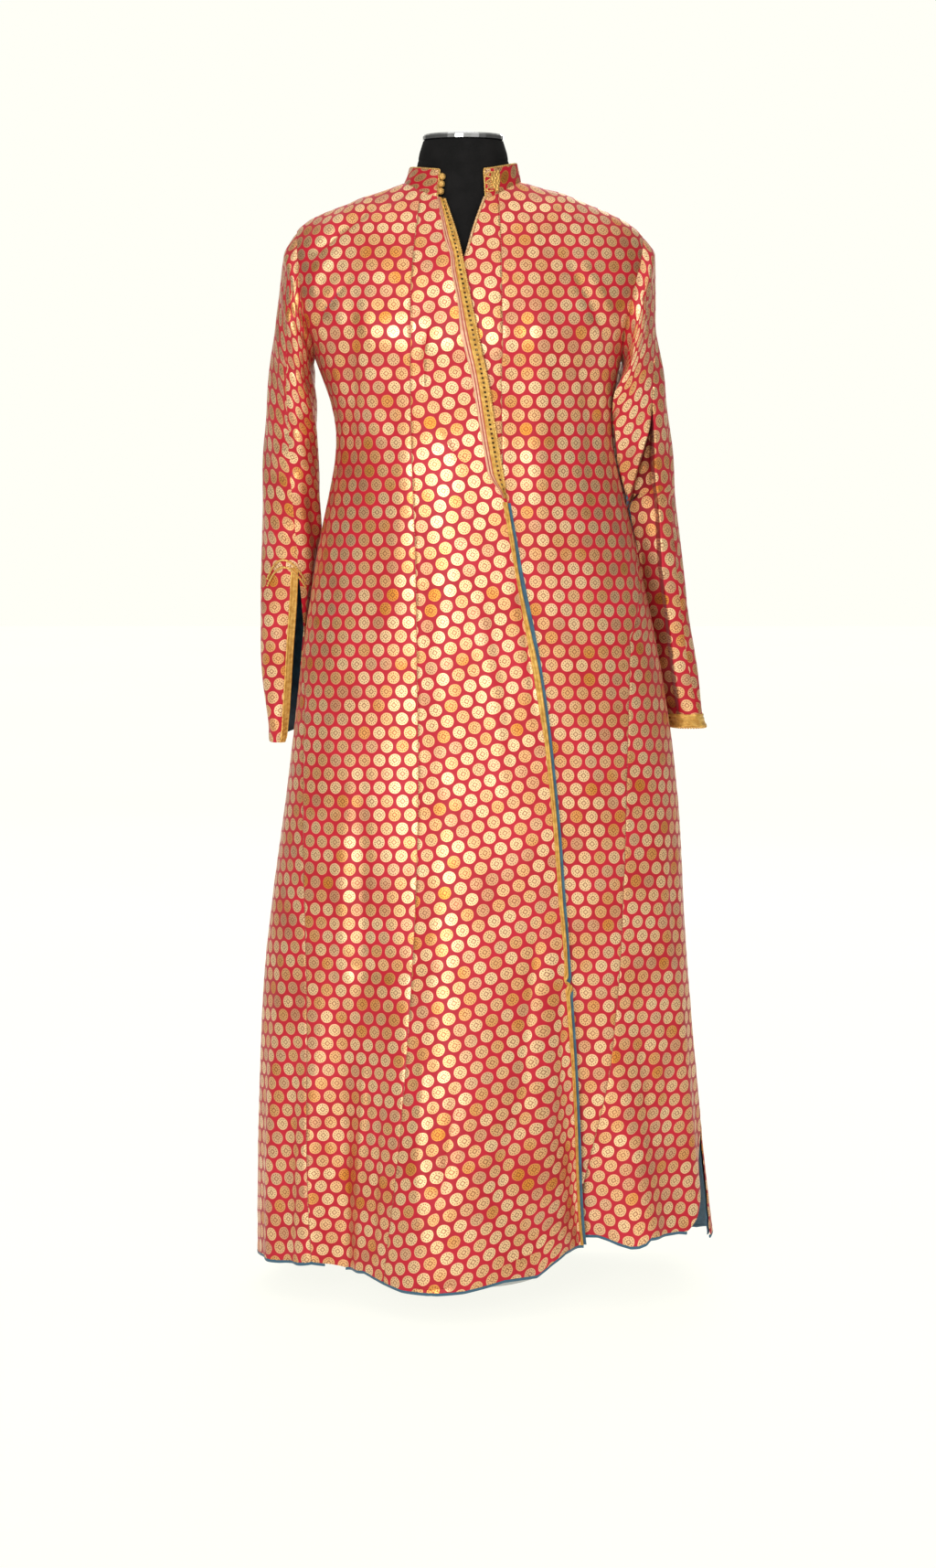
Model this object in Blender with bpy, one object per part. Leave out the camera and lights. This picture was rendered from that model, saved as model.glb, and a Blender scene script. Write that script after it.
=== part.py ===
"""A full-length brocade wedding robe that hangs on a limbless dress form with a plate stand.

The origin is on the base plate's underside, below the pole's axis. +Z is up, the robe's front faces -Y,
and +X is the wearer's left. Right and left in names are the wearer's.
"""

import math

import bpy
import numpy as np

# Driving sizes, in metres

WALL = 0.002
SEAM_GAP = 0.0003
TRIM_GAP = 0.0004
OVERLAP_LIFT = 0.0055
UNDERLAP_DROP = 0.0035
OVERLAP_FREE, UNDERLAP_FREE = 1.6, 2.5
BODY_CLEARANCE = 0.0055

BRAID_WIDTH, BRAID_TOP_WIDTH, BRAID_THICKNESS = 0.0165, 0.0095, 0.0016
BAND_WIDTH, BAND_THICKNESS, BAND_GAP = 0.0055, 0.0012, 0.0007
NECK_EDGE_WIDTH = 0.003
FACING_SHOWS, FACING_THICKNESS = 0.004, 0.0012
PIPING_HEIGHT, PIPING_THICKNESS, PIPING_END_TURN = 0.0035, 0.0026, 0.1
HOOK_GAP = 0.0026
SLEEVE_START_GAP, SLEEVE_UNDER_GAP = 0.0008, 0.0026
BRAID_FOOT_LEVEL = 5.5
LINING_LEVEL = 1.5

# Side gores: the level of each tip, and the back gore's angle at the hem

GORE_TIP = {"right": 5.0, "left": 5.5}
BACK_GORE_ANGLE, GORE_TIP_ANGLE = 26.0, 0.8
VENT_LEVEL, VENT_ANGLE, VENT_BACK_SHARE = 1.2, 30.0, 0.3

# Levels of the section table, by row

HIP, UNDERARM, SHOULDER_TIP, NECKLINE = 5, 7, 9, 12

# The robe's outer form, a row for each level. z is the height at the wearer's right side,
# left side, front and back. right, left, front and back are the half sizes from the neck's
# axis, and square is the exponent of the section's superellipse.

SECTION_COLUMNS = (
    "z_right", "z_left", "z_front", "z_back", "right", "left", "front", "back", "square",
)
SECTIONS = (
    (0.040, 0.040, 0.034, 0.030, 0.2545, 0.3110, 0.150, 0.190, 2.2),
    (0.200, 0.200, 0.200, 0.200, 0.2530, 0.2950, 0.146, 0.182, 2.2),
    (0.400, 0.400, 0.400, 0.400, 0.2420, 0.2790, 0.140, 0.170, 2.2),
    (0.600, 0.600, 0.600, 0.600, 0.2175, 0.2650, 0.134, 0.156, 2.2),
    (0.760, 0.760, 0.760, 0.760, 0.1990, 0.2420, 0.129, 0.144, 2.2),
    (0.900, 0.900, 0.900, 0.900, 0.1770, 0.2140, 0.124, 0.132, 2.2),
    (1.045, 1.045, 1.040, 1.045, 0.1520, 0.1830, 0.116, 0.116, 2.2),
    (1.147, 1.147, 1.115, 1.122, 0.1790, 0.1935, 0.122, 0.120, 2.3),
    (1.218, 1.216, 1.160, 1.176, 0.2080, 0.2190, 0.126, 0.122, 2.4),
    (1.294, 1.289, 1.205, 1.232, 0.1990, 0.2180, 0.118, 0.115, 1.95),
    (1.3285, 1.3330, 1.252, 1.288, 0.1340, 0.1370, 0.104, 0.100, 2.15),
    (1.3415, 1.3450, 1.293, 1.334, 0.0980, 0.0990, 0.083, 0.080, 2.1),
    (1.352, 1.3535, 1.327, 1.3655, 0.0690, 0.0710, 0.066, 0.058, 2.0),
)

# Where the seams and edges of the front lie at each level, as x.

LINE_COLUMNS = (
    "right_seam", "overlap_edge", "underlap_edge", "left_seam", "right_gore", "left_gore",
)
LINES = (
    (-0.0818, 0.1700, -0.1300, 0.0760, -0.179, 0.160),
    (-0.0642, 0.1540, -0.1180, 0.0640, -0.184, 0.171),
    (-0.0547, 0.1275, -0.1000, 0.0560, -0.189, 0.190),
    (-0.0517, 0.1111, -0.0830, 0.0520, -0.192, 0.198),
    (-0.0532, 0.0923, -0.0690, 0.0510, -0.1875, 0.202),
    (-0.0546, 0.0659, -0.0520, 0.0500, -0.1740, 0.201),
    (-0.0596, 0.0413, -0.0330, 0.0480, -0.1519, 0.1829),
    (-0.0608, 0.0297, -0.0230, 0.0470, -0.1789, 0.1934),
    (-0.0606, 0.0201, -0.0150, 0.0481, -0.2079, 0.2189),
    (-0.0607, 0.0105, -0.0070, 0.0473, -0.2009, 0.2199),
    (-0.0577, 0.0012, 0.0005, 0.0469, -0.1309, 0.1339),
    (-0.0530, -0.0092, 0.0124, 0.0453, -0.0979, 0.0989),
    (-0.0500, -0.0205, 0.0259, 0.0440, -0.0689, 0.0709),
)

# How far the hems sit above the lowest row, by x: the right front and its gore, the left
# front and its gores, and the back.

HEM_HEIGHT, HEM_RISE_HEIGHT = 0.03, 0.30
RIGHT_HEM = (
    (-0.253, 0.000), (-0.247, 0.005), (-0.223, 0.007), (-0.183, 0.015), (-0.159, 0.011),
    (-0.142, 0.007), (-0.128, 0.010), (-0.118, 0.012), (-0.107, 0.009), (-0.094, 0.006),
    (-0.071, 0.002), (-0.040, 0.001), (0.001, 0.004), (0.048, 0.014), (0.084, 0.014),
    (0.095, 0.022), (0.113, 0.037), (0.145, 0.039),
)
LEFT_HEM = (
    (-0.130, 0.044), (0.165, 0.049), (0.178, 0.045), (0.190, 0.040), (0.205, 0.036),
    (0.215, 0.037), (0.224, 0.041), (0.229, 0.047), (0.264, 0.046), (0.311, 0.036),
)
BACK_HEM = (
    (-0.255, 0.000), (0.000, 0.000), (0.090, -0.006), (0.148, -0.012), (0.183, -0.008),
    (0.220, 0.000), (0.258, 0.003), (0.277, 0.010), (0.297, 0.017), (0.311, 0.028),
)

# The largest folds of the skirt. angle is 0 at the front and 90 at the wearer's left,
# half_angle the fold's half width, out its height (a trough is negative), full and top the
# heights where it is deepest and where it has died out, lean its turn per metre of height.

FOLD_COLUMNS = ("angle", "half_angle", "out", "full", "top", "lean")
FOLDS = (
    (-3.5, 27.0, 0.058, 0.03, 0.70, 0.0),
    (29.0, 13.0, -0.034, 0.05, 0.46, -12.0),
    (43.0, 9.0, 0.012, 0.05, 0.36, 0.0),
    (-35.0, 9.0, -0.020, 0.05, 0.48, 0.0),
    (-46.0, 8.0, 0.009, 0.05, 0.40, 0.0),
    (-64.0, 9.0, 0.007, 0.10, 0.55, 0.0),
    (66.0, 10.0, 0.008, 0.15, 0.62, 0.0),
    (128.0, 15.0, 0.020, 0.04, 0.62, 0.0),
    (150.0, 12.0, -0.018, 0.04, 0.52, 0.0),
    (176.0, 18.0, 0.026, 0.04, 0.74, 0.0),
    (-155.0, 12.0, -0.020, 0.04, 0.56, 0.0),
    (-130.0, 14.0, 0.018, 0.04, 0.60, 0.0),
)

# Sleeves, a row for each ring from the armhole down. The outer and inner point of the ring
# are given by x, y and z, x as a distance from the neck's axis, and depth is half its width
# from front to back.

SLEEVE_COLUMNS = ("x_out", "y_out", "z_out", "x_in", "y_in", "z_in", "depth")
RIGHT_SLEEVE = (
    (0.2150, 0.002, 1.266, 0.1815, 0.004, 1.132, 0.069),
    (0.2200, 0.004, 1.228, 0.1805, 0.008, 1.110, 0.068),
    (0.2280, 0.006, 1.175, 0.1790, 0.012, 1.080, 0.064),
    (0.2345, 0.008, 1.110, 0.1775, 0.018, 1.040, 0.058),
    (0.2390, 0.009, 1.040, 0.1770, 0.026, 0.994, 0.052),
    (0.2405, 0.010, 0.970, 0.1790, 0.036, 0.946, 0.046),
    (0.2390, 0.012, 0.890, 0.1815, 0.052, 0.884, 0.040),
    (0.2385, 0.016, 0.820, 0.1830, 0.076, 0.820, 0.034),
    (0.2365, 0.022, 0.750, 0.1840, 0.102, 0.750, 0.028),
    (0.2335, 0.028, 0.694, 0.1850, 0.120, 0.700, 0.024),
    (0.2310, 0.030, 0.671, 0.1850, 0.124, 0.684, 0.023),
)
LEFT_SLEEVE = (
    (0.2330, 0.002, 1.266, 0.1950, 0.004, 1.130, 0.069),
    (0.2340, 0.004, 1.228, 0.1910, 0.010, 1.108, 0.068),
    (0.2360, 0.006, 1.175, 0.1860, 0.018, 1.078, 0.064),
    (0.2445, 0.008, 1.110, 0.1835, 0.028, 1.038, 0.058),
    (0.2510, 0.010, 1.040, 0.1860, 0.038, 0.994, 0.052),
    (0.2555, 0.012, 0.970, 0.1930, 0.048, 0.946, 0.046),
    (0.2620, 0.014, 0.890, 0.2040, 0.064, 0.884, 0.041),
    (0.2700, 0.018, 0.820, 0.2140, 0.084, 0.820, 0.035),
    (0.2825, 0.022, 0.750, 0.2240, 0.100, 0.750, 0.030),
    (0.2915, 0.026, 0.7065, 0.2310, 0.108, 0.7065, 0.027),
    (0.2940, 0.027, 0.690, 0.2330, 0.110, 0.690, 0.027),
)

# Grooves pressed into a sleeve: its side, the turn around the ring in degrees (0 outer, 90
# front), its half width, depth, and the rings where it starts and where it is deepest.

GROOVE_COLUMNS = ("turn", "half_turn", "depth", "start", "full")
GROOVES = {
    "left": ((78.0, 44.0, 0.016, 3.0, 6.0), (250.0, 40.0, 0.006, 4.0, 8.0)),
    "right": ((120.0, 40.0, 0.006, 3.0, 6.0), (250.0, 40.0, 0.006, 4.0, 8.0)),
}

# The slit of the right sleeve: the ring where it starts, and its two edges at the cuff

SLIT_RING = 7.0
SLIT_TURN, SLIT_FRONT_TURN, SLIT_BACK_TURN = 67.5, 26.0, 84.0

SLEEVE_RINGS = len(RIGHT_SLEEVE)
BACK_FLAP_COLUMNS = 8
HOOK_START_TURN, HOOK_END_TURN, HOOK_STEPS = 4.0, 80.0, 12
HOOK_SAG, HOOK_RISE, HOOK_WIDTH = 0.55, 0.62, 0.05

# The collar's upper edge, its ends at the front as x, and its buttons' heights as a share

COLLAR_TOP = (1.3695, 1.3740, 1.3620, 1.3800, 0.0625, 0.0660, 0.0565, 0.0560, 2.0)
COLLAR_RIGHT_END, COLLAR_LEFT_END, COLLAR_SEAT = 0.0300, 0.0290, 0.0014
BUTTON_SHARES, BUTTON_RADIUS = (0.26, 0.53, 0.80), 0.004

# The form, a row for each ring below the shoulders, with equal sides.

FORM_COLUMNS = ("z_side", "z_front", "z_back", "side", "front", "back", "square")
FORM = (
    (0.795, 0.795, 0.795, 0.150, 0.098, 0.104, 2.2),
    (0.800, 0.800, 0.800, 0.158, 0.106, 0.112, 2.2),
    (0.880, 0.880, 0.880, 0.160, 0.110, 0.118, 2.2),
    (0.960, 0.960, 0.960, 0.148, 0.104, 0.108, 2.2),
    (1.045, 1.040, 1.045, 0.134, 0.098, 0.098, 2.2),
    (1.130, 1.105, 1.110, 0.150, 0.106, 0.104, 2.3),
    (1.200, 1.155, 1.165, 0.170, 0.112, 0.108, 2.4),
    (1.262, 1.200, 1.220, 0.180, 0.110, 0.106, 2.4),
)
NECK = (
    (1.372, 1.360, 1.380, 0.0560, 0.053, 0.050, 2.0),
    (1.388, 1.384, 1.392, 0.0530, 0.051, 0.049, 2.0),
    (1.4022, 1.4022, 1.4022, 0.0485, 0.0485, 0.0485, 2.0),
)
NECK_CENTRE = 0.0015

FORM_SIDES = 32
FORM_REST_GAP, FORM_FRONT_GAP = 0.0005, 0.0045
POLE_RADIUS = 0.016
BASE_RADIUS, BASE_THICKNESS, BASE_BEVEL, BASE_CENTRE_Y = 0.105, 0.008, 0.001, 0.060

# Materials: colour, roughness, metallic

MATERIALS = {
    "brocade": ((0.45, 0.03, 0.07), 0.50, 0.15),
    "gold_braid": ((0.72, 0.45, 0.12), 0.42, 0.55),
    "blue_cotton": ((0.03, 0.09, 0.16), 0.80, 0.0),
    "black_jersey": ((0.012, 0.012, 0.013), 0.85, 0.0),
    "chrome": ((0.75, 0.75, 0.77), 0.12, 1.0),
    "steel": ((0.62, 0.62, 0.60), 0.45, 0.6),
}


def material(name):
    """The Principled material of that name, made once."""
    found = bpy.data.materials.get(name)
    if found:
        return found
    colour, roughness, metallic = MATERIALS[name]
    made = bpy.data.materials.new(name)
    made.use_nodes = True
    shader = made.node_tree.nodes["Principled BSDF"]
    shader.inputs["Base Color"].default_value = (*colour, 1.0)
    shader.inputs["Roughness"].default_value = roughness
    shader.inputs["Metallic"].default_value = metallic
    return made


def object_of(name, points, faces, slot):
    """A smooth-shaded mesh object."""
    mesh = bpy.data.meshes.new(name)
    mesh.from_pydata([tuple(p) for p in points], [], faces)
    mesh.validate()
    mesh.shade_smooth()
    mesh.set_sharp_from_angle(angle=math.radians(40))
    obj = bpy.data.objects.new(name, mesh)
    mesh.materials.append(material(slot))
    bpy.context.scene.collection.objects.link(obj)
    return obj


# The smooth form of the robe

def row_at(table, columns, at):
    """The table's values at a place between its rows, on a smooth curve through them."""
    last = len(table) - 1
    at = min(max(at, 0.0), float(last))
    low = min(int(at), last - 1)
    t = at - low
    before, a = np.array(table[max(low - 1, 0)]), np.array(table[low])
    b, after = np.array(table[low + 1]), np.array(table[min(low + 2, last)])
    slope_a, slope_b = (b - before) / 2, (after - a) / 2
    curve = (
        (2 * t**3 - 3 * t**2 + 1) * a + (t**3 - 2 * t**2 + t) * slope_a
        + (3 * t**2 - 2 * t**3) * b + (t**3 - t**2) * slope_b
    )
    return dict(zip(columns, curve))


def smooth_step(t):
    t = min(max(t, 0.0), 1.0)
    return t * t * (3 - 2 * t)


def fold_height(angle, z):
    """How far the folds move the cloth out at an angle in degrees and a height."""
    total = 0.0
    for values in FOLDS:
        fold = dict(zip(FOLD_COLUMNS, values))
        middle = fold["angle"] + fold["lean"] * (z - fold["full"])
        away = abs((angle - middle + 180) % 360 - 180) / fold["half_angle"]
        fade = smooth_step((fold["top"] - z) / (fold["top"] - fold["full"]))
        if away < 1:
            total += fold["out"] * fade * math.cos(away * math.pi / 2) ** 2
    return total


def section_point(section, angle):
    """A point of a section, by its angle in degrees from the front."""
    turn = math.radians(angle)
    power = 2 / section["square"]
    across = math.copysign(abs(math.sin(turn)) ** power, math.sin(turn))
    along = math.copysign(abs(math.cos(turn)) ** power, math.cos(turn))
    x = across * (section["left"] if across > 0 else section["right"])
    y = -along * (section["front"] if along > 0 else section["back"])
    share = math.cos(turn) ** 2
    z_side = section["z_left"] if across > 0 else section["z_right"]
    z_end = section["z_front"] if along > 0 else section["z_back"]
    return np.array((x, y, z_side + (z_end - z_side) * share))


def robe_point(angle, level):
    """A point of the robe's middle surface."""
    point = section_point(row_at(SECTIONS, SECTION_COLUMNS, level), angle)
    out = np.array((point[0], point[1] * 1.4, 0.0))
    return point + out / np.linalg.norm(out) * fold_height(angle, point[2])


def robe_normal(angle, level):
    """The outward direction of the robe's middle surface."""
    step = 0.02
    around = robe_point(angle + step * 20, level) - robe_point(angle - step * 20, level)
    low, high = max(level - step, 0.0), min(level + step, float(NECKLINE))
    up = robe_point(angle, high) - robe_point(angle, low)
    across = np.cross(around, up)
    return across / np.linalg.norm(across)


def angle_of(line, level):
    """The angle at which a named line of the front crosses a level."""
    section = row_at(SECTIONS, SECTION_COLUMNS, level)
    x = row_at(LINES, LINE_COLUMNS, level)[line]
    half = section["left"] if x > 0 else section["right"]
    share = min(abs(x) / half, 1.0) ** (section["square"] / 2)
    return math.copysign(math.degrees(math.asin(share)), x)


# The armhole, an oval window in the robe's side between two levels

ARMHOLE_ANGLE = {"right": 25.0, "left": 25.0}
ARMHOLE_STEPS = 8
SKIRT_LEVELS = (0.0, 0.25, 0.6, 1.0, 1.5, 2.0, 2.6, 3.2, 3.8, 4.4, 5.0, 5.5, 6.0, 6.5)


def armhole_level(turn):
    """The level at a turn around the armhole, 0 at the shoulder and pi at the underarm."""
    middle, half = (SHOULDER_TIP + UNDERARM) / 2, (SHOULDER_TIP - UNDERARM) / 2
    return middle + half * math.cos(turn)


def robe_levels():
    arm = [armhole_level(math.pi * k / ARMHOLE_STEPS) for k in range(ARMHOLE_STEPS, -1, -1)]
    return list(SKIRT_LEVELS) + arm + [9.35, 9.7, 10.1, 10.5, 11.0, 11.5, 12.0]


def side_angle(side, level):
    """How far from 90 degrees a panel ends at the side: the armhole, or the side seam."""
    middle, half = (SHOULDER_TIP + UNDERARM) / 2, (SHOULDER_TIP - UNDERARM) / 2
    share = (level - middle) / half
    if abs(share) >= 1:
        return 0.0
    return ARMHOLE_ANGLE[side] * math.sqrt(1 - share * share)


# Walls of cloth

def wall_faces(rows, columns, closed_rows=()):
    """Triangles of a sheet's outer side, as corners (row, column), with closed rows joined."""
    def corner(r, c):
        return (r, 0) if c == columns - 1 and r in closed_rows else (r, c)

    faces = []
    for r in range(rows - 1):
        for c in range(columns - 1):
            low, low_next = corner(r, c), corner(r, c + 1)
            high, high_next = corner(r + 1, c), corner(r + 1, c + 1)
            faces += [[low, low_next, high_next], [low, high_next, high]]
    return faces


def thick_sheet(name, outer, inner, slot, closed_rows=()):
    """A closed wall between two grids of points, given from below and counterclockwise."""
    rows, columns = len(outer), len(outer[0])
    faces = wall_faces(rows, columns, closed_rows)
    used = sorted({p for face in faces for p in face})
    index = {p: i for i, p in enumerate(used)}
    count = len(used)
    points = [outer[r][c] for r, c in used] + [inner[r][c] for r, c in used]
    front = [[index[p] for p in face] for face in faces]
    edges = {(a, b) for face in front for a, b in zip(face, face[1:] + face[:1])}
    rim = []
    for a, b in sorted(edges):
        if (b, a) in edges:
            continue
        if used[a][0] <= used[b][0]:
            rim += [(b, a, b + count), (a, a + count, b + count)]
        else:
            rim += [(b, a, a + count), (b, a + count, b + count)]
    back = [[i + count for i in reversed(face)] for face in front]
    return object_of(name, points, front + back + rim, slot)


def sheet_on_robe(name, levels, angles, slot, lift=None, wall=WALL, drop=None):
    """A wall that follows the robe. angles(level) gives its columns, lift its height."""
    outer, inner = [], []
    for level in levels:
        columns = angles(level)
        row_out, row_in = [], []
        for k, angle in enumerate(columns):
            point, normal = robe_point(angle, level), robe_normal(angle, level)
            inset = SEAM_GAP / 2 if k in (0, len(columns) - 1) else 0.0
            if inset:
                other = robe_point(columns[1] if k == 0 else columns[-2], level)
                toward = other - point
                point = point + toward / np.linalg.norm(toward) * inset
            if drop:
                point[2] += drop(point)
            height = lift(angle, level) if lift else 0.0
            row_out.append(point + normal * (height + wall / 2))
            row_in.append(point + normal * (height - wall / 2))
        outer.append(row_out)
        inner.append(row_in)
    return thick_sheet(name, outer, inner, slot)


def spread(start, end, count, extra=()):
    """Evenly spaced columns, then the extra ones."""
    return [start + (end - start) * k / count for k in range(count + 1)] + list(extra)


# How far the hems sit above the section table's lowest row

def hem_rise(table, point):
    """The rise of a hem at a point's x, which fades out up the skirt."""
    fade = max(0.0, 1 - (point[2] - HEM_HEIGHT) / HEM_RISE_HEIGHT) ** 2
    return fade * float(np.interp(point[0], [row[0] for row in table], [row[1] for row in table]))


def right_hem(point):
    return hem_rise(RIGHT_HEM, point)


def left_hem(point):
    return hem_rise(LEFT_HEM, point)


def back_hem(point):
    return hem_rise(BACK_HEM, point)


# Heights of the overlap and the underlap over the robe's surface

def overlap_lift(angle, level):
    start, end = angle_of("right_seam", level), min(-2.0, angle_of("overlap_edge", level))
    near_neck = 0.2 + 0.8 * smooth_step((NECKLINE - level) / 1.7)
    free = 1 + OVERLAP_FREE * smooth_step((angle - 5) / 15) * smooth_step((HIP - level) / HIP)
    risen = smooth_step((angle - start) / max(end - start, 4.0))
    return OVERLAP_LIFT * near_neck * free * risen


def underlap_lift(angle, level):
    start = angle_of("left_seam", level)
    near_neck = smooth_step((NECKLINE - level) / 1.7)
    free = 1 + UNDERLAP_FREE * smooth_step((HIP - level) / HIP)
    fallen = smooth_step((start - angle) / max(start - 1.0, 4.0))
    return -UNDERLAP_DROP * near_neck * free * fallen


def degrees_per_metre(angle, level):
    step = robe_point(angle + 0.5, level) - robe_point(angle - 0.5, level)
    return 1 / np.linalg.norm(step)


# Columns of the panels, as angles at a level

def over_edge(level, inward=0.0):
    """The overlap's edge, or a line that runs that far inside it."""
    angle = angle_of("overlap_edge", level)
    return angle - inward * degrees_per_metre(angle, level)


def braid_width(level):
    """The braid widens below the collar and comes to a point at the waist."""
    top = BRAID_TOP_WIDTH + (BRAID_WIDTH - BRAID_TOP_WIDTH) * smooth_step((NECKLINE - level) / 1.5)
    foot = 0.25 + 0.75 * smooth_step((level - BRAID_FOOT_LEVEL) / 0.4)
    return top * foot


def overlap_columns(level):
    inner = over_edge(level, BRAID_WIDTH)
    seam = angle_of("right_seam", level)
    return spread(seam, inner, 8, (over_edge(level, BAND_WIDTH), over_edge(level)))


def underlap_columns(level):
    return spread(angle_of("underlap_edge", level), angle_of("left_seam", level), 6)


def gore_angle(side, level, behind=False):
    """How far from 90 degrees a side gore reaches, nothing above its tip."""
    tip = GORE_TIP[side]
    if level > tip:
        return 0.0
    if behind:
        wide = BACK_GORE_ANGLE * (1 - level / tip)
    else:
        wide = (90 - abs(angle_of(side + "_gore", level))) * min(1.0, (tip - level) / 1.2)
    return max(wide, GORE_TIP_ANGLE)


def right_front_columns(level):
    away = max(gore_angle("right", level), side_angle("right", level))
    return spread(away - 90, angle_of("right_seam", level), 7)


def left_front_columns(level):
    away = max(gore_angle("left", level), side_angle("left", level))
    return spread(angle_of("left_seam", level), 90 - away, 7)


def back_columns(level):
    left = max(gore_angle("left", level, True), side_angle("left", level))
    right = max(gore_angle("right", level, True), side_angle("right", level))
    return spread(90 + left, 270 - right, 18)


def vent(level):
    """How far the left side's front gore is drawn back from the side seam at the vent."""
    return VENT_ANGLE * max(0.0, (VENT_LEVEL - level) / VENT_LEVEL) ** 0.8


def right_side_front_columns(level):
    return spread(-90, gore_angle("right", level) - 90, 3)


def left_side_front_columns(level):
    return spread(90 - gore_angle("left", level), 90 - vent(level), 6)


def left_side_back_columns(level):
    return spread(90 - vent(level) * VENT_BACK_SHARE, 90 + gore_angle("left", level, True), 4)


def right_side_back_columns(level):
    return spread(270 - gore_angle("right", level, True), 270, 3)


def panels():
    levels = robe_levels()
    sheet_on_robe("right_front", levels, right_front_columns, "brocade", drop=right_hem)
    sheet_on_robe("left_front", levels, left_front_columns, "brocade", drop=left_hem)
    sheet_on_robe(
        "right_front_gore", levels, overlap_columns, "brocade", overlap_lift, drop=right_hem
    )
    sheet_on_robe(
        "left_front_gore", levels, underlap_columns, "brocade", underlap_lift, drop=left_hem
    )
    sheet_on_robe("back", levels, back_columns, "brocade", drop=back_hem)
    gores = (
        ("right_side_front", "right", right_side_front_columns, right_hem),
        ("left_side_front", "left", left_side_front_columns, left_hem),
        ("right_side_back", "right", right_side_back_columns, back_hem),
        ("left_side_back", "left", left_side_back_columns, back_hem),
    )
    for name, side, columns, drop in gores:
        below_tip = [level for level in levels if level <= GORE_TIP[side]]
        sheet_on_robe(name, below_tip, columns, "brocade", drop=drop)


# Trims that lie on the panels

def on_top(lift, thickness, gap=TRIM_GAP):
    """The height of a trim's middle over a panel that has this lift."""
    return lambda angle, level: (
        (lift(angle, level) if lift else 0.0) + WALL / 2 + gap + thickness / 2
    )


def braid_columns(level):
    wide = braid_width(level)
    narrow = wide * BAND_WIDTH / BRAID_WIDTH
    return [over_edge(level, wide), over_edge(level, narrow), over_edge(level)]


def band_columns(level):
    return [over_edge(level, BAND_WIDTH), over_edge(level)]


def facing_columns(level):
    return band_columns(level) + [over_edge(level, -FACING_SHOWS)]


def under_overlap(angle, level):
    angle = min(angle, over_edge(level))
    return overlap_lift(angle, level) - WALL / 2 - TRIM_GAP - FACING_THICKNESS / 2


def neck_edge_columns(level):
    edge = angle_of("underlap_edge", level)
    return [edge, edge + NECK_EDGE_WIDTH * degrees_per_metre(edge, level)]


def front_trims():
    levels = robe_levels()
    braid = [level for level in levels if level >= BRAID_FOOT_LEVEL]
    band = [level for level in levels if level <= BRAID_FOOT_LEVEL - 0.1]
    neck = [level for level in levels if level >= 10.5]
    sheet_on_robe(
        "front_braid", braid, braid_columns, "gold_braid",
        on_top(overlap_lift, BRAID_THICKNESS), wall=BRAID_THICKNESS, drop=right_hem,
    )
    sheet_on_robe(
        "front_edge_band", band, band_columns, "gold_braid",
        on_top(overlap_lift, BAND_THICKNESS, BAND_GAP), wall=BAND_THICKNESS, drop=right_hem,
    )
    sheet_on_robe(
        "front_facing", band, facing_columns, "blue_cotton",
        under_overlap, wall=FACING_THICKNESS, drop=right_hem,
    )
    sheet_on_robe(
        "neck_edge_piping", neck, neck_edge_columns, "gold_braid",
        on_top(underlap_lift, BAND_THICKNESS), wall=BAND_THICKNESS,
    )


def hem_strip(name, angles, lift, drop):
    """Piping just under a hem, as thick as the cloth with its edge turned."""
    outer, inner = [], []
    for down in (SEAM_GAP + PIPING_HEIGHT, SEAM_GAP):
        row_out, row_in = [], []
        for angle in angles:
            point, normal = robe_point(angle, 0.0), robe_normal(angle, 0.0)
            point[2] += drop(point) - down
            height = lift(angle, 0.0) if lift else 0.0
            row_out.append(point + normal * (height + PIPING_THICKNESS / 2))
            row_in.append(point + normal * (height - PIPING_THICKNESS / 2))
        outer.append(row_out)
        inner.append(row_in)
    return thick_sheet(name, outer, inner, "blue_cotton")


def whole_back_columns(level):
    back = left_side_back_columns(level) + back_columns(level)[1:]
    return back + right_side_back_columns(level)[1:]


def lining_lift(angle, level):
    return -(WALL / 2 + TRIM_GAP + FACING_THICKNESS / 2)


def right_hem_lift(angle, level):
    return overlap_lift(angle, level) if angle > angle_of("right_seam", 0.0) else 0.0


def hem_trims():
    right = right_side_front_columns(0.0) + right_front_columns(0.0)[1:]
    right += overlap_columns(0.0)[1:]
    left = left_front_columns(0.0) + left_side_front_columns(0.0)[1:]
    back = whole_back_columns(0.0)
    right[0] += PIPING_END_TURN
    back[-1] -= PIPING_END_TURN
    hem_strip("hem_piping_right_front", right, right_hem_lift, right_hem)
    hem_strip("hem_piping_left_front", left, None, left_hem)
    hem_strip("hem_piping_back", back, None, back_hem)
    lining_levels = [level for level in robe_levels() if level <= LINING_LEVEL]
    sheet_on_robe(
        "back_lining", lining_levels, whole_back_columns, "blue_cotton",
        lining_lift, wall=FACING_THICKNESS, drop=back_hem,
    )


# Sleeves

def armhole_point(side, turn):
    """The armhole's edge at a turn in radians, 0 at the shoulder and pi / 2 at the front."""
    sign = 1 if side == "left" else -1
    level = armhole_level(turn)
    away = side_angle(side, level)
    front = math.sin(turn) > 0
    return robe_point(sign * (90 - away if front else 90 + away), level)


def groove_depth(side, turn, ring):
    total = 0.0
    for values in GROOVES[side]:
        groove = dict(zip(GROOVE_COLUMNS, values))
        away = abs((turn - groove["turn"] + 180) % 360 - 180) / groove["half_turn"]
        grown = smooth_step((ring - groove["start"]) / (groove["full"] - groove["start"]))
        if away < 1:
            total += groove["depth"] * grown * math.cos(away * math.pi / 2) ** 2
    return total


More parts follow.
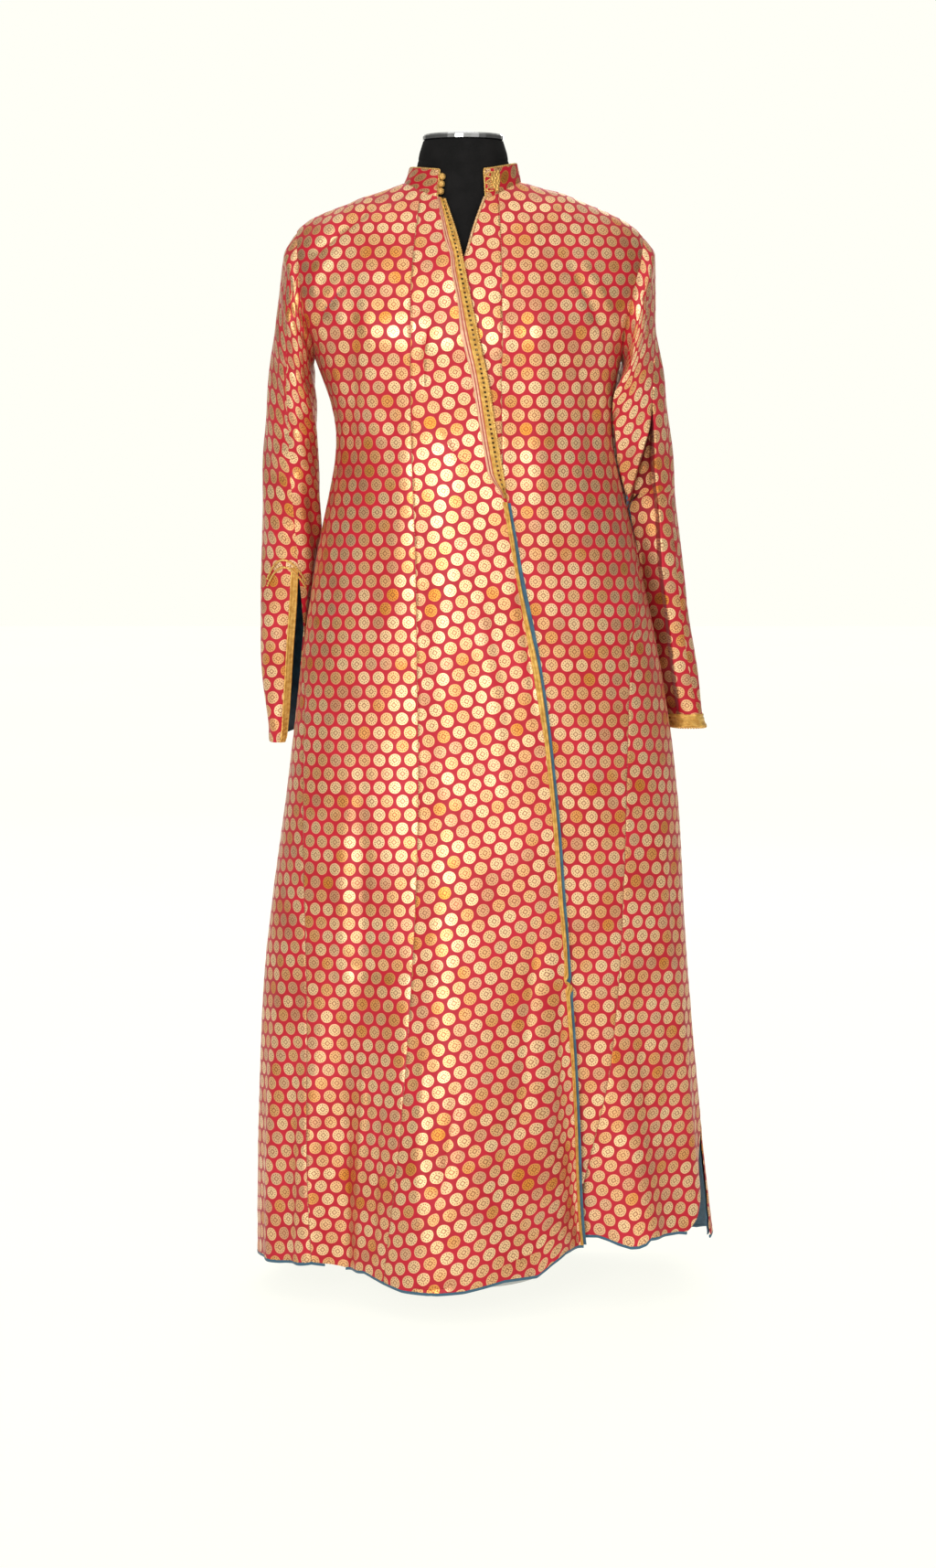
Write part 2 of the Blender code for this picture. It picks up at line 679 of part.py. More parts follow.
def sleeve_point(side, turn, ring):
    """A point of a sleeve's middle surface: turn in degrees, ring 0 at the armhole."""
    sign = 1 if side == "left" else -1
    angle = math.radians(turn)
    armhole = armhole_point(side, angle % (2 * math.pi))
    reach = SLEEVE_START_GAP + SLEEVE_UNDER_GAP * ((1 - math.cos(angle)) / 2) ** 1.3
    start = armhole + np.array((sign * reach, 0.0, 0.0))
    if ring <= 0:
        return start
    table = LEFT_SLEEVE if side == "left" else RIGHT_SLEEVE
    row = row_at(table, SLEEVE_COLUMNS, max(ring - 1, 0.0))
    outer = np.array((sign * row["x_out"], row["y_out"], row["z_out"]))
    inner = np.array((sign * row["x_in"], row["y_in"], row["z_in"]))
    axis = (outer - inner) / 2
    flat = np.array((-sign * abs(axis[1]), -abs(axis[0]), 0.0))
    yaw_share = smooth_step((ring - 1) / 5)
    front = np.array((0.0, -1.0, 0.0)) * (1 - yaw_share) + flat / np.linalg.norm(flat) * yaw_share
    front /= np.linalg.norm(front)
    depth = row["depth"]
    point = (outer + inner) / 2 + axis * math.cos(angle) + front * depth * math.sin(angle)
    inward = (outer + inner) / 2 - point
    point = point + inward / np.linalg.norm(inward) * groove_depth(side, turn, ring)
    point[0] = sign * max(abs(point[0]), beside_skirt(sign, point[1], point[2]))
    if ring < 1:
        return start + (point - start) * ring
    return point


def beside_skirt(sign, y, z):
    """How far out a sleeve keeps from the neck's axis to clear the robe's side."""
    heights = [row[0] for row in SECTIONS[: UNDERARM + 1]]
    if z >= heights[-1]:
        return 0.0
    level = float(np.interp(z, heights, range(UNDERARM + 1)))
    section = row_at(SECTIONS, SECTION_COLUMNS, level)
    share = min(abs(y) / section["front" if y < 0 else "back"], 1.0)
    half = section["left" if sign > 0 else "right"]
    reach = half * (1 - share ** section["square"]) ** (1 / section["square"])
    return reach + BODY_CLEARANCE


def sleeve_normal(side, turn, ring):
    sign = 1 if side == "left" else -1
    around = sleeve_point(side, turn + 4, ring) - sleeve_point(side, turn - 4, ring)
    low, high = max(ring - 0.15, 0.0), min(ring + 0.15, float(SLEEVE_RINGS))
    down = sleeve_point(side, turn, high) - sleeve_point(side, turn, low)
    across = np.cross(around, down) * sign
    return across / np.linalg.norm(across)


def slit_edges(side, ring):
    """The turns at which the sleeve's cloth ends at the slit, equal where it is closed."""
    if side == "left" or ring <= SLIT_RING:
        return SLIT_TURN, SLIT_TURN
    share = (ring - SLIT_RING) / (SLEEVE_RINGS - SLIT_RING)
    front = SLIT_TURN + (SLIT_FRONT_TURN - SLIT_TURN) * share
    back = SLIT_TURN + (SLIT_BACK_TURN - SLIT_TURN) * share
    return front, back


def sleeve_turns(side, ring):
    front, back = slit_edges(side, ring)
    return spread(back, front + 360, 2 * ARMHOLE_STEPS)


def sleeve_grid(side, rings, turns, height, wall):
    """Outer and inner points of a wall that follows a sleeve, at a height over it."""
    outer, inner = [], []
    for ring in rings:
        row_out, row_in = [], []
        for turn in turns(ring):
            point, normal = sleeve_point(side, turn, ring), sleeve_normal(side, turn, ring)
            row_out.append(point + normal * (height + wall / 2))
            row_in.append(point + normal * (height - wall / 2))
        outer.append(row_out)
        inner.append(row_in)
    if side == "left":
        outer, inner = [row[::-1] for row in outer], [row[::-1] for row in inner]
    return outer[::-1], inner[::-1]


def sleeve(side):
    rings = [0.0, 0.5] + [float(k) for k in range(1, SLEEVE_RINGS + 1)]
    outer, inner = sleeve_grid(side, rings, lambda ring: sleeve_turns(side, ring), 0.0, WALL)
    count = len(rings)
    closed = {
        count - 1 - k for k, ring in enumerate(rings) if side == "left" or ring <= SLIT_RING
    }
    thick_sheet(side + "_sleeve", outer, inner, "brocade", closed)


def sleeve_trims():
    """Trims made from the sleeves' own points, moved out."""
    cuff = (SLEEVE_RINGS - 1.0, float(SLEEVE_RINGS))
    slit = [float(k) for k in range(int(SLIT_RING), SLEEVE_RINGS + 1)]
    sleeve_trim("left_cuff_braid", "left", cuff, slice(None), (0, 1))
    sleeve_trim("right_cuff_trim", "right", cuff, slice(0, BACK_FLAP_COLUMNS))
    sleeve_trim("right_slit_braid", "right", slit, slice(-2, None))
    hook()


def sleeve_trim(name, side, rings, columns, closed_rows=()):
    height = WALL / 2 + TRIM_GAP + BAND_THICKNESS / 2
    outer, inner = sleeve_grid(
        side, rings, lambda ring: sleeve_turns(side, ring)[columns], height, BAND_THICKNESS
    )
    thick_sheet(name, outer, inner, "gold_braid", closed_rows)


def hook():
    """The curved appliqué over the top of the right sleeve's slit."""
    middle, across = [], []
    for k in range(HOOK_STEPS + 1):
        share = k / HOOK_STEPS
        turn = HOOK_START_TURN + (HOOK_END_TURN - HOOK_START_TURN) * share
        ring = SLIT_RING + HOOK_SAG - HOOK_RISE * math.sin(math.pi * (0.15 + 0.7 * share))
        middle.append((turn, ring))
    height = WALL / 2 + HOOK_GAP + BAND_THICKNESS / 2
    outer, inner = [], []
    for shift in (-HOOK_WIDTH, HOOK_WIDTH):
        row_out, row_in = [], []
        for turn, ring in middle:
            point = sleeve_point("right", turn, ring + shift)
            normal = sleeve_normal("right", turn, ring + shift)
            row_out.append(point + normal * (height + BAND_THICKNESS / 2))
            row_in.append(point + normal * (height - BAND_THICKNESS / 2))
        outer.append(row_out)
        inner.append(row_in)
    thick_sheet("right_slit_hook", outer[::-1], inner[::-1], "gold_braid")


# Collar

def collar_point(angle, share):
    """A point of the collar's middle surface, share 0 at its lower edge and 1 at its top."""
    low = dict(zip(SECTION_COLUMNS, SECTIONS[NECKLINE]))
    high = dict(zip(SECTION_COLUMNS, COLLAR_TOP))
    bottom = section_point(low, angle) + np.array((0.0, 0.0, COLLAR_SEAT))
    top = section_point(high, angle)
    return bottom + (top - bottom) * share


def collar_normal(angle, share):
    around = collar_point(angle + 1, share) - collar_point(angle - 1, share)
    up = collar_point(angle, share + 0.1) - collar_point(angle, share - 0.1)
    across = np.cross(around, up)
    return across / np.linalg.norm(across)


def collar_sheet(name, angles, shares, slot, height=0.0, wall=WALL):
    outer, inner = [], []
    for share in shares:
        points = [(collar_point(a, share), collar_normal(a, share)) for a in angles]
        outer.append([p + n * (height + wall / 2) for p, n in points])
        inner.append([p + n * (height - wall / 2) for p, n in points])
    return thick_sheet(name, outer, inner, slot)


def collar():
    start = math.degrees(math.asin(COLLAR_LEFT_END / SECTIONS[NECKLINE][5]))
    end = 360 - math.degrees(math.asin(COLLAR_RIGHT_END / SECTIONS[NECKLINE][4]))
    angles = spread(start, end, 28)
    collar_sheet("collar", angles, (0.0, 0.5, 1.0), "brocade")
    collar_sheet("collar_piping", angles, (1.02, 1.12), "gold_braid", wall=WALL + 0.0006)
    tab = WALL / 2 + TRIM_GAP + BRAID_THICKNESS / 2
    tab_shares = (0.06, 0.5, 0.96)
    collar_sheet("collar_loop_tab", angles[:3], tab_shares, "gold_braid", tab, BRAID_THICKNESS)
    for number, share in enumerate(BUTTON_SHARES, 1):
        edge = collar_point(end, share)
        along = collar_point(end + 1, share) - edge
        middle = edge + along / np.linalg.norm(along) * (BUTTON_RADIUS + TRIM_GAP)
        ball("collar_button_%d" % number, middle, BUTTON_RADIUS)


def ball(name, middle, radius):
    bpy.ops.mesh.primitive_uv_sphere_add(
        segments=12, ring_count=8, radius=radius, location=tuple(middle)
    )
    obj = bpy.context.object
    obj.name = name
    obj.data.materials.append(material("gold_braid"))
    obj.data.shade_smooth()


# The dress form and its stand

def stack_of_rings(name, rings, slot):
    """A closed body through rings of equal counts, with flat ends."""
    count = len(rings[0])
    points = [p for ring in rings for p in ring]
    faces = []
    for r in range(len(rings) - 1):
        for c in range(count):
            a, b = r * count + c, r * count + (c + 1) % count
            faces.append((a, b, b + count, a + count))
    faces.append(tuple(reversed(range(count))))
    faces.append(tuple(range((len(rings) - 1) * count, len(rings) * count)))
    return object_of(name, points, faces, slot)


def even_section(row):
    """A form ring's sizes as a section with equal sides."""
    form = dict(zip(FORM_COLUMNS, row))
    names = ("z_side", "z_side", "z_front", "z_back", "side", "side", "front", "back", "square")
    return {key: form[name] for key, name in zip(SECTION_COLUMNS, names)}


def form_ring_under_robe(angle, level):
    """A point of the form's shoulders, where the robe rests on them."""
    gap = FORM_REST_GAP + FORM_FRONT_GAP * abs(math.cos(math.radians(angle)))
    return robe_point(angle, level) - robe_normal(angle, level) * (WALL / 2 + gap)


def form_torso():
    angles = [360 * k / FORM_SIDES for k in range(FORM_SIDES)]
    rings = [[section_point(even_section(row), a) for a in angles] for row in FORM]
    for level in (9.7, 10.1, 10.5, 11.0, 11.5, 12.0):
        rings.append([form_ring_under_robe(a, level) for a in angles])
    centre = np.array((NECK_CENTRE, 0.0, 0.0))
    rings += [[section_point(even_section(row), a) + centre for a in angles] for row in NECK]
    stack_of_rings("form_torso", rings, "black_jersey")


def turned(name, profile, centre, slot, sides=32):
    """A body turned around an upright axis, from its profile of (radius, z), bottom first."""
    x, y = centre
    rings = []
    for radius, z in profile:
        turn = [2 * math.pi * k / sides for k in range(sides)]
        rings.append([(x + radius * math.cos(a), y + radius * math.sin(a), z) for a in turn])
    return stack_of_rings(name, rings, slot)


def stand():
    top = NECK[-1][0] + SEAM_GAP
    cap = (
        (0.0455, top), (0.0492, top + 0.0015), (0.0492, top + 0.0055),
        (0.0475, top + 0.0075), (0.030, top + 0.0092), (0.010, top + 0.0098),
    )
    turned("neck_cap", cap, (NECK_CENTRE, 0.0), "chrome")
    low, high = BASE_THICKNESS + SEAM_GAP, FORM[0][0] - SEAM_GAP
    turned("stand_pole", ((POLE_RADIUS, low), (POLE_RADIUS, high)), (0.0, 0.0), "steel", 20)
    edge = (
        (BASE_RADIUS, 0.0), (BASE_RADIUS, BASE_THICKNESS - BASE_BEVEL),
        (BASE_RADIUS - BASE_BEVEL, BASE_THICKNESS),
    )
    turned("stand_base", edge, (0.0, BASE_CENTRE_Y), "steel", 40)


def main():
    for obj in list(bpy.data.objects):
        bpy.data.objects.remove(obj)
    panels()
    front_trims()
    hem_trims()
    sleeve("right")
    sleeve("left")
    sleeve_trims()
    collar()
    form_torso()
    stand()


main()
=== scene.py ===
"""The looks of a brocade wedding robe on a dress form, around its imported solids.

+Z is up, the robe's front faces -Y, and +X is the wearer's left. Right and left in names are
the wearer's. The robe's form repeats the values of part.py, on a finer mesh. Only the left
sleeve departs from it, with a deep fold and an inner side that lies closer to the body.
"""

import functools
import math
import random

import bmesh
import bpy
import mathutils
import numpy as np
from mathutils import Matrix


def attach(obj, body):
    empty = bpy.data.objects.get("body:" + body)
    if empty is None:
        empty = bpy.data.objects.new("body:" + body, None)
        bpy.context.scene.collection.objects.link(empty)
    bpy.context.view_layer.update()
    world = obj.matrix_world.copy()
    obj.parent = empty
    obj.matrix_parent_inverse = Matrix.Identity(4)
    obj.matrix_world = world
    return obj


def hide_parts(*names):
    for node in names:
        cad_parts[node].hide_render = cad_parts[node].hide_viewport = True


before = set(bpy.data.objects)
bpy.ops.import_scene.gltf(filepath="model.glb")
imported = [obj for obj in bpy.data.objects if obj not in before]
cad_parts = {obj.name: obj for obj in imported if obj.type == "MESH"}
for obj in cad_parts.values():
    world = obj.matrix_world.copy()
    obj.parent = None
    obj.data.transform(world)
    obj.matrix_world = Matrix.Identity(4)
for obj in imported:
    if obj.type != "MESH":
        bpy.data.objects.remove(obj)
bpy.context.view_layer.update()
random.seed(11)

# Camera, in metres and degrees, with a long lens on the picture's height

CAMERA_PLACE = (0.00728, -4.2, 1.045)
CAMERA_TILT = 90 - 5.748
CAMERA_LENS = 78.72

# The robe's sizes and tables, as in part.py

WALL = 0.002
TRIM_GAP = 0.0004
OVERLAP_LIFT = 0.0055
UNDERLAP_DROP = 0.0035
OVERLAP_FREE, UNDERLAP_FREE = 1.6, 2.5
BODY_CLEARANCE = 0.0055

BRAID_WIDTH = 0.0165
BAND_WIDTH = 0.0055
FACING_SHOWS, FACING_THICKNESS = 0.004, 0.0012
PIPING_HEIGHT, PIPING_THICKNESS = 0.0035, 0.0026
BRAID_FOOT_LEVEL = 5.5
LINING_LEVEL = 1.5

# Side gores: the level of each tip, and the back gore's angle at the hem

GORE_TIP = {"right": 5.0, "left": 5.5}
BACK_GORE_ANGLE, GORE_TIP_ANGLE = 26.0, 0.8
VENT_LEVEL, VENT_ANGLE, VENT_BACK_SHARE = 1.2, 30.0, 0.3

# Levels of the section table, by row

HIP, UNDERARM, SHOULDER_TIP, NECKLINE = 5, 7, 9, 12

# The robe's outer form, a row for each level. z is the height at the wearer's right side,
# left side, front and back. right, left, front and back are the half sizes from the neck's
# axis, and square is the exponent of the section's superellipse.

SECTION_COLUMNS = (
    "z_right", "z_left", "z_front", "z_back", "right", "left", "front", "back", "square",
)
SECTIONS = (
    (0.040, 0.040, 0.034, 0.030, 0.2545, 0.3110, 0.150, 0.190, 2.2),
    (0.200, 0.200, 0.200, 0.200, 0.2530, 0.2950, 0.146, 0.182, 2.2),
    (0.400, 0.400, 0.400, 0.400, 0.2420, 0.2790, 0.140, 0.170, 2.2),
    (0.600, 0.600, 0.600, 0.600, 0.2175, 0.2650, 0.134, 0.156, 2.2),
    (0.760, 0.760, 0.760, 0.760, 0.1990, 0.2420, 0.129, 0.144, 2.2),
    (0.900, 0.900, 0.900, 0.900, 0.1770, 0.2140, 0.124, 0.132, 2.2),
    (1.045, 1.045, 1.040, 1.045, 0.1520, 0.1830, 0.116, 0.116, 2.2),
    (1.147, 1.147, 1.115, 1.122, 0.1790, 0.1935, 0.122, 0.120, 2.3),
    (1.218, 1.216, 1.160, 1.176, 0.2080, 0.2190, 0.126, 0.122, 2.4),
    (1.294, 1.289, 1.205, 1.232, 0.1990, 0.2180, 0.118, 0.115, 1.95),
    (1.3285, 1.3330, 1.252, 1.288, 0.1340, 0.1370, 0.104, 0.100, 2.15),
    (1.3415, 1.3450, 1.293, 1.334, 0.0980, 0.0990, 0.083, 0.080, 2.1),
    (1.352, 1.3535, 1.327, 1.3655, 0.0690, 0.0710, 0.066, 0.058, 2.0),
)

# Where the seams and edges of the front lie at each level, as x.

LINE_COLUMNS = (
    "right_seam", "overlap_edge", "underlap_edge", "left_seam", "right_gore", "left_gore",
)
LINES = (
    (-0.0818, 0.1700, -0.1300, 0.0760, -0.179, 0.160),
    (-0.0642, 0.1540, -0.1180, 0.0640, -0.184, 0.171),
    (-0.0547, 0.1275, -0.1000, 0.0560, -0.189, 0.190),
    (-0.0517, 0.1111, -0.0830, 0.0520, -0.192, 0.198),
    (-0.0532, 0.0923, -0.0690, 0.0510, -0.1875, 0.202),
    (-0.0546, 0.0659, -0.0520, 0.0500, -0.1740, 0.201),
    (-0.0596, 0.0413, -0.0330, 0.0480, -0.1519, 0.1829),
    (-0.0608, 0.0297, -0.0230, 0.0470, -0.1789, 0.1934),
    (-0.0606, 0.0201, -0.0150, 0.0481, -0.2079, 0.2189),
    (-0.0607, 0.0105, -0.0070, 0.0473, -0.2009, 0.2199),
    (-0.0577, 0.0012, 0.0005, 0.0469, -0.1309, 0.1339),
    (-0.0530, -0.0092, 0.0124, 0.0453, -0.0979, 0.0989),
    (-0.0500, -0.0205, 0.0259, 0.0440, -0.0689, 0.0709),
)

# How far the hems sit above the lowest row, by x: the right front and its gore, the left
# front and its gores, and the back.

HEM_HEIGHT, HEM_RISE_HEIGHT = 0.03, 0.30
RIGHT_HEM = (
    (-0.253, 0.000), (-0.247, 0.005), (-0.223, 0.007), (-0.183, 0.015), (-0.159, 0.011),
    (-0.142, 0.007), (-0.128, 0.010), (-0.118, 0.012), (-0.107, 0.009), (-0.094, 0.006),
    (-0.071, 0.002), (-0.040, 0.001), (0.001, 0.004), (0.048, 0.014), (0.084, 0.014),
    (0.095, 0.022), (0.113, 0.037), (0.145, 0.039),
)
LEFT_HEM = (
    (-0.130, 0.044), (0.165, 0.049), (0.178, 0.045), (0.190, 0.040), (0.205, 0.036),
    (0.215, 0.037), (0.224, 0.041), (0.229, 0.047), (0.264, 0.046), (0.311, 0.036),
)
BACK_HEM = (
    (-0.255, 0.000), (0.000, 0.000), (0.090, -0.006), (0.148, -0.012), (0.183, -0.008),
    (0.220, 0.000), (0.258, 0.003), (0.277, 0.010), (0.297, 0.017), (0.311, 0.028),
)

# The largest folds of the skirt. angle is 0 at the front and 90 at the wearer's left,
# half_angle the fold's half width, out its height (a trough is negative), full and top the
# heights where it is deepest and where it has died out, lean its turn per metre of height.

FOLD_COLUMNS = ("angle", "half_angle", "out", "full", "top", "lean")
FOLDS = (
    (-3.5, 27.0, 0.058, 0.03, 0.70, 0.0),
    (29.0, 13.0, -0.034, 0.05, 0.46, -12.0),
    (43.0, 9.0, 0.012, 0.05, 0.36, 0.0),
    (-35.0, 9.0, -0.020, 0.05, 0.48, 0.0),
    (-46.0, 8.0, 0.009, 0.05, 0.40, 0.0),
    (-64.0, 9.0, 0.007, 0.10, 0.55, 0.0),
    (66.0, 10.0, 0.008, 0.15, 0.62, 0.0),
    (128.0, 15.0, 0.020, 0.04, 0.62, 0.0),
    (150.0, 12.0, -0.018, 0.04, 0.52, 0.0),
    (176.0, 18.0, 0.026, 0.04, 0.74, 0.0),
    (-155.0, 12.0, -0.020, 0.04, 0.56, 0.0),
    (-130.0, 14.0, 0.018, 0.04, 0.60, 0.0),
)

# Sleeves, a row for each ring from the armhole down. The outer and inner point of the ring
# are given by x, y and z, x as a distance from the neck's axis, and depth is half its width
# from front to back.

SLEEVE_COLUMNS = ("x_out", "y_out", "z_out", "x_in", "y_in", "z_in", "depth")
RIGHT_SLEEVE = (
    (0.2150, 0.002, 1.266, 0.1815, 0.004, 1.132, 0.069),
    (0.2200, 0.004, 1.228, 0.1805, 0.008, 1.110, 0.068),
    (0.2280, 0.006, 1.175, 0.1790, 0.012, 1.080, 0.064),
    (0.2345, 0.008, 1.110, 0.1775, 0.018, 1.040, 0.058),
    (0.2390, 0.009, 1.040, 0.1770, 0.026, 0.994, 0.052),
    (0.2405, 0.010, 0.970, 0.1790, 0.036, 0.946, 0.046),
    (0.2390, 0.012, 0.890, 0.1815, 0.052, 0.884, 0.040),
    (0.2385, 0.016, 0.820, 0.1830, 0.076, 0.820, 0.034),
    (0.2365, 0.022, 0.750, 0.1840, 0.102, 0.750, 0.028),
    (0.2335, 0.028, 0.694, 0.1850, 0.120, 0.700, 0.024),
    (0.2310, 0.030, 0.671, 0.1850, 0.124, 0.684, 0.023),
)
LEFT_SLEEVE = (
    (0.2330, 0.002, 1.266, 0.1950, 0.004, 1.130, 0.069),
    (0.2340, 0.004, 1.228, 0.1910, 0.010, 1.108, 0.068),
    (0.2360, 0.006, 1.175, 0.1860, 0.018, 1.078, 0.064),
    (0.2445, 0.008, 1.110, 0.1835, 0.028, 1.038, 0.058),
    (0.2510, 0.010, 1.040, 0.1860, 0.038, 0.994, 0.052),
    (0.2555, 0.012, 0.970, 0.1930, 0.048, 0.946, 0.046),
    (0.2620, 0.014, 0.890, 0.2040, 0.064, 0.884, 0.041),
    (0.2700, 0.018, 0.820, 0.2140, 0.084, 0.820, 0.035),
    (0.2825, 0.022, 0.750, 0.2240, 0.100, 0.750, 0.030),
    (0.2915, 0.026, 0.7065, 0.2310, 0.108, 0.7065, 0.027),
    (0.2940, 0.027, 0.690, 0.2330, 0.110, 0.690, 0.027),
)

# Grooves pressed into a sleeve: its side, the turn around the ring in degrees (0 outer, 90
# front), its half width, depth, and the rings where it starts and where it is deepest.

GROOVE_COLUMNS = ("turn", "half_turn", "depth", "start", "full")
GROOVES = {
    "left": ((78.0, 44.0, 0.016, 3.0, 6.0), (250.0, 40.0, 0.006, 4.0, 8.0)),
    "right": ((120.0, 40.0, 0.006, 3.0, 6.0), (250.0, 40.0, 0.006, 4.0, 8.0)),
}

# The slit of the right sleeve: the ring where it starts, and its two edges at the cuff

SLIT_RING = 7.0
SLIT_TURN, SLIT_FRONT_TURN, SLIT_BACK_TURN = 67.5, 26.0, 84.0

SLEEVE_RINGS = len(RIGHT_SLEEVE)
HOOK_START_TURN, HOOK_END_TURN = 4.0, 80.0
HOOK_SAG, HOOK_RISE, HOOK_WIDTH = 0.55, 0.62, 0.05

# The collar's upper edge, its ends at the front as x, and its buttons' heights as a share

COLLAR_TOP = (1.3695, 1.3740, 1.3620, 1.3800, 0.0625, 0.0660, 0.0565, 0.0560, 2.0)
COLLAR_RIGHT_END, COLLAR_LEFT_END = 0.0300, 0.0290
BUTTON_SHARES, BUTTON_RADIUS = (0.26, 0.53, 0.80), 0.004

# The form, a row for each ring below the shoulders, with equal sides.

FORM_COLUMNS = ("z_side", "z_front", "z_back", "side", "front", "back", "square")
FORM = (
    (0.795, 0.795, 0.795, 0.150, 0.098, 0.104, 2.2),
    (0.800, 0.800, 0.800, 0.158, 0.106, 0.112, 2.2),
    (0.880, 0.880, 0.880, 0.160, 0.110, 0.118, 2.2),
    (0.960, 0.960, 0.960, 0.148, 0.104, 0.108, 2.2),
    (1.045, 1.040, 1.045, 0.134, 0.098, 0.098, 2.2),
    (1.130, 1.105, 1.110, 0.150, 0.106, 0.104, 2.3),
    (1.200, 1.155, 1.165, 0.170, 0.112, 0.108, 2.4),
    (1.262, 1.200, 1.220, 0.180, 0.110, 0.106, 2.4),
)
NECK = (
    (1.372, 1.360, 1.380, 0.0560, 0.053, 0.050, 2.0),
    (1.388, 1.384, 1.392, 0.0530, 0.051, 0.049, 2.0),
    (1.4022, 1.4022, 1.4022, 0.0485, 0.0485, 0.0485, 2.0),
)
NECK_CENTRE = 0.0015

FORM_FRONT_GAP = 0.0045
